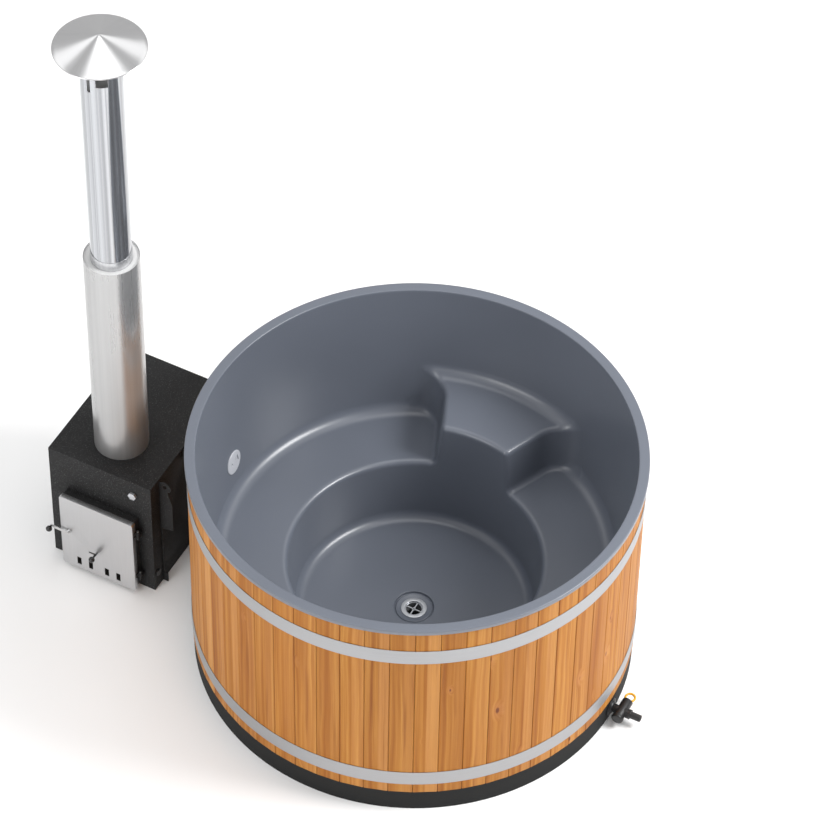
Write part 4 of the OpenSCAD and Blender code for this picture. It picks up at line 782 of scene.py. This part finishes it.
# ring handle: radius of the ring and of its wire, and the stem into the plug as (y, half width, half depth)
RING_R, WIRE_R = 17.8, 4.3
RING_STEM = ((46.6, 7.5, 3.4), (50, 7.5, 3.4), (53, 6.2, 3.2), (57.5, 5.4, 3.0))

# recesses in the water fitting's face: slots from end to end with their half width, and a screw hole
FACE_SLOTS = (((4.6, 4.8), (25, 14), 3.6), ((25, 14), (28.4, -9.7), 3.0))
SCREW_HOLE, SCREW_HOLE_R = (-16.5, 2.5), 4.8
RECESS_DEPTH, RECESS_EDGE = 9, 0.8

# nodes whose edges are rounded, and by how much
EDGES = {
    "door_pan": 2.2, "stove_casing": 1.0, "hex_plug": 1.0, "latch_lever": 0.8, "side_bracket": 0.8,
    "door_neck": 0.8, "valve_body": 1.0, "valve_end_cap": 1.2, "valve_flange": 1.2, "hose_tail": 0.8,
    "drain_flange": 0.8,
}


def build_valve_ring():
    rounds, sides = 64, 16
    x, y, z = VALVE_RING
    wire = [(RING_R + WIRE_R * math.cos(b), WIRE_R * math.sin(b)) for b in circle(sides)]
    verts = [(x + r * math.cos(a), y + r * math.sin(a), z + h) for a in circle(rounds) for r, h in wire]
    faces = quads(rounds, sides)
    base = len(verts)

    def squarish(value):
        return math.copysign(abs(value) ** 0.5, value)

    for stem_y, half, deep in RING_STEM:
        for b in circle(sides):
            verts.append((x + half * squarish(math.cos(b)), stem_y, z + deep * squarish(math.sin(b))))
    faces += [tuple(base + v for v in face) for face in quads(len(RING_STEM), sides, ring=False)]
    faces.append(tuple(range(base, base + sides)))
    faces.append(tuple(reversed(range(len(verts) - sides, len(verts)))))
    stands_for(piece("ring_handle", verts, faces, "yellow", "valve_plug", sharp=50), "valve_ring")


def fitting_recess(u, v):
    """Depth of the face's slots and screw hole at a point of the face."""
    def sunk(away, half):
        return RECESS_DEPTH * min(max((half - away) / RECESS_EDGE + 0.5, 0), 1)

    depth = sunk(math.hypot(u - SCREW_HOLE[0], v - SCREW_HOLE[1]), SCREW_HOLE_R)
    for (au, av), (bu, bv), half in FACE_SLOTS:
        du, dv = bu - au, bv - av
        t = min(max(((u - au) * du + (v - av) * dv) / (du * du + dv * dv), 0), 1)
        depth = max(depth, sunk(math.hypot(u - au - t * du, v - av - t * dv), half))
    return depth


def build_water_fitting():
    """Round face on the sloping wall, and the pipe behind it."""
    lo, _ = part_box("inlet_fitting")
    lean, turn = math.radians(WALL_DRAFT), math.radians(INLET_AZ - 180)
    length = (-lo.x / MM - INLET_WALL_R) / math.cos(lean)

    def placed(u, v, w):
        """A point of the scene from its place across the face, up it and out of the wall."""
        x = -INLET_WALL_R + w * math.cos(lean) - v * math.sin(lean)
        z = INLET_Z + v * math.cos(lean) + w * math.sin(lean)
        return (x * math.cos(turn) - u * math.sin(turn), x * math.sin(turn) + u * math.cos(turn), z)

    steps, edge_r, bore_r = 240, 3, WATER_PIPE_R - WATER_PIPE_T
    flat = [(r, INLET_FACE_T) for r in np.arange(0.01, INLET_FACE_R - edge_r, 0.6)]
    edge = bow((INLET_FACE_R - edge_r, INLET_FACE_T - edge_r), edge_r, 90, 0, 5)
    back = [(INLET_FACE_R, 0.6), (WATER_PIPE_R, 0.6), (WATER_PIPE_R, -length)]
    bore = [(bore_r, -length), (bore_r, -6), (0.01, -6)]
    outline = flat + edge + back + bore
    verts = []
    for a in circle(steps):
        for r, w in outline:
            u, v = r * math.cos(a), r * math.sin(a)
            verts.append(placed(u, v, w - (fitting_recess(u, v) if w == INLET_FACE_T else 0)))
    faces = quads(steps, len(outline), closed=False)
    stands_for(piece("water_face", verts, faces, "white", "tub", sharp=40), "inlet_fitting", "inlet_gasket")


build_valve_ring()
build_water_fitting()
for node, width in EDGES.items():
    softened(node, width)

# ---------------------------------------------------------------- camera, floor and light, in metres

CAMERA_YAW, CAMERA_PITCH, CAMERA_ROLL = -27.0826, 48.038, 1.170
CAMERA_AT = (4.5145, -8.8601, 12.2773)
CAMERA_LENS, CAMERA_SENSOR = 183.365, 36
FLOOR_HALF = 40
ROOM_LEVEL = 0.3


def camera():
    yaw, pitch, roll = (math.radians(v) for v in (CAMERA_YAW, CAMERA_PITCH, CAMERA_ROLL))
    forward = Vector((math.sin(yaw) * math.cos(pitch), math.cos(yaw) * math.cos(pitch), -math.sin(pitch)))
    right = Vector((math.cos(yaw), -math.sin(yaw), 0))
    up = right.cross(forward)
    side = math.cos(roll) * right + math.sin(roll) * up
    top = -math.sin(roll) * right + math.cos(roll) * up
    data = bpy.data.cameras.new("camera")
    data.lens = CAMERA_LENS
    data.sensor_width = CAMERA_SENSOR
    data.clip_end = 100
    cam = bpy.data.objects.new("camera", data)
    cam.matrix_world = Matrix.Translation(CAMERA_AT) @ Matrix((side, top, -forward)).transposed().to_4x4()
    SCENE.collection.objects.link(cam)
    SCENE.camera = cam


def area(name, at, target, size, power):
    data = bpy.data.lights.new(name, "AREA")
    data.shape = "DISK"
    data.size = size
    data.energy = power
    obj = bpy.data.objects.new(name, data)
    obj.location = at
    obj.rotation_euler = (Vector(target) - Vector(at)).to_track_quat("-Z", "Y").to_euler()
    SCENE.collection.objects.link(obj)


def white_floor():
    mesh = bpy.data.meshes.new("floor")
    s = FLOOR_HALF
    mesh.from_pydata([(-s, -s, 0), (s, -s, 0), (s, s, 0), (-s, s, 0)], [], [(0, 1, 2, 3)])
    n = material("floor_white")
    n.set(Base_Color=(0.97, 0.97, 0.97, 1), Roughness=0.9, Specular_IOR_Level=0.1)
    mesh.materials.append(n.owner)
    floor = bpy.data.objects.new("floor", mesh)
    SCENE.collection.objects.link(floor)


def world_light():
    """White behind the object; for its lighting, a grey room with soft boxes over, beside and before it."""
    world = bpy.data.worlds.new("studio")
    SCENE.world = world
    n = Nodes(world, "Background")
    way = n.add("ShaderNodeTexCoord").outputs["Generated"]

    def towards(*direction):
        return n.vector_math("DOT_PRODUCT", way, direction)["Value"]

    def soft_box(light, *edges):
        """A patch of light. Each edge is a direction, where it is dark and where it is lit."""
        for value, dark, lit in edges:
            light = n.times(n.spread(value, dark, lit, interpolation_type="SMOOTHSTEP"), light)
        return light

    up, overhead = towards(0, 0, 1), towards(0.055, 0.036, 0.998)
    side, back = towards(0.838, 0.545, 0), towards(-0.545, 0.838, 0)
    front_edges = (back, -0.55, -0.75), (side, 0.3, 0.0), (side, -0.75, -0.6), (up, 0.0, 0.1), (up, 0.5, 0.3)
    right = soft_box(0.9, (side, 0.3, 0.36), (up, 0.49, 0.55), (up, 0.8, 0.73))
    left = soft_box(0.95, (side, -0.3, -0.36), (up, 0.54, 0.66), (up, 0.835, 0.8))
    top = soft_box(1.5, (overhead, 0.925, 0.955))
    front = soft_box(1.4, *front_edges)
    rear = soft_box(0.34, (back, -0.3, 0.3))
    level = ROOM_LEVEL
    for box in (right, left, top, front, rear):
        level = n.plus(box, level)
    pick = n.add("ShaderNodeMix", data_type="FLOAT")
    seen = n.add("ShaderNodeLightPath").outputs["Is Camera Ray"]
    for value, place in ((seen, 0), (level, 2), (1.0, 3)):
        n.feed(value, pick.inputs[place])
    n.set(Color=(1, 1, 1, 1), Strength=pick.outputs[0])


camera()
white_floor()
world_light()
area("key", (4.9, 1.5, 5.65), (0, 0, 0.4), 3.0, 480)
area("fill", (-2.4, -6.0, 3.4), (-0.4, 0, 0.4), 3.5, 142)
SCENE.view_settings.view_transform = "Standard"
SCENE.view_settings.look = "None"
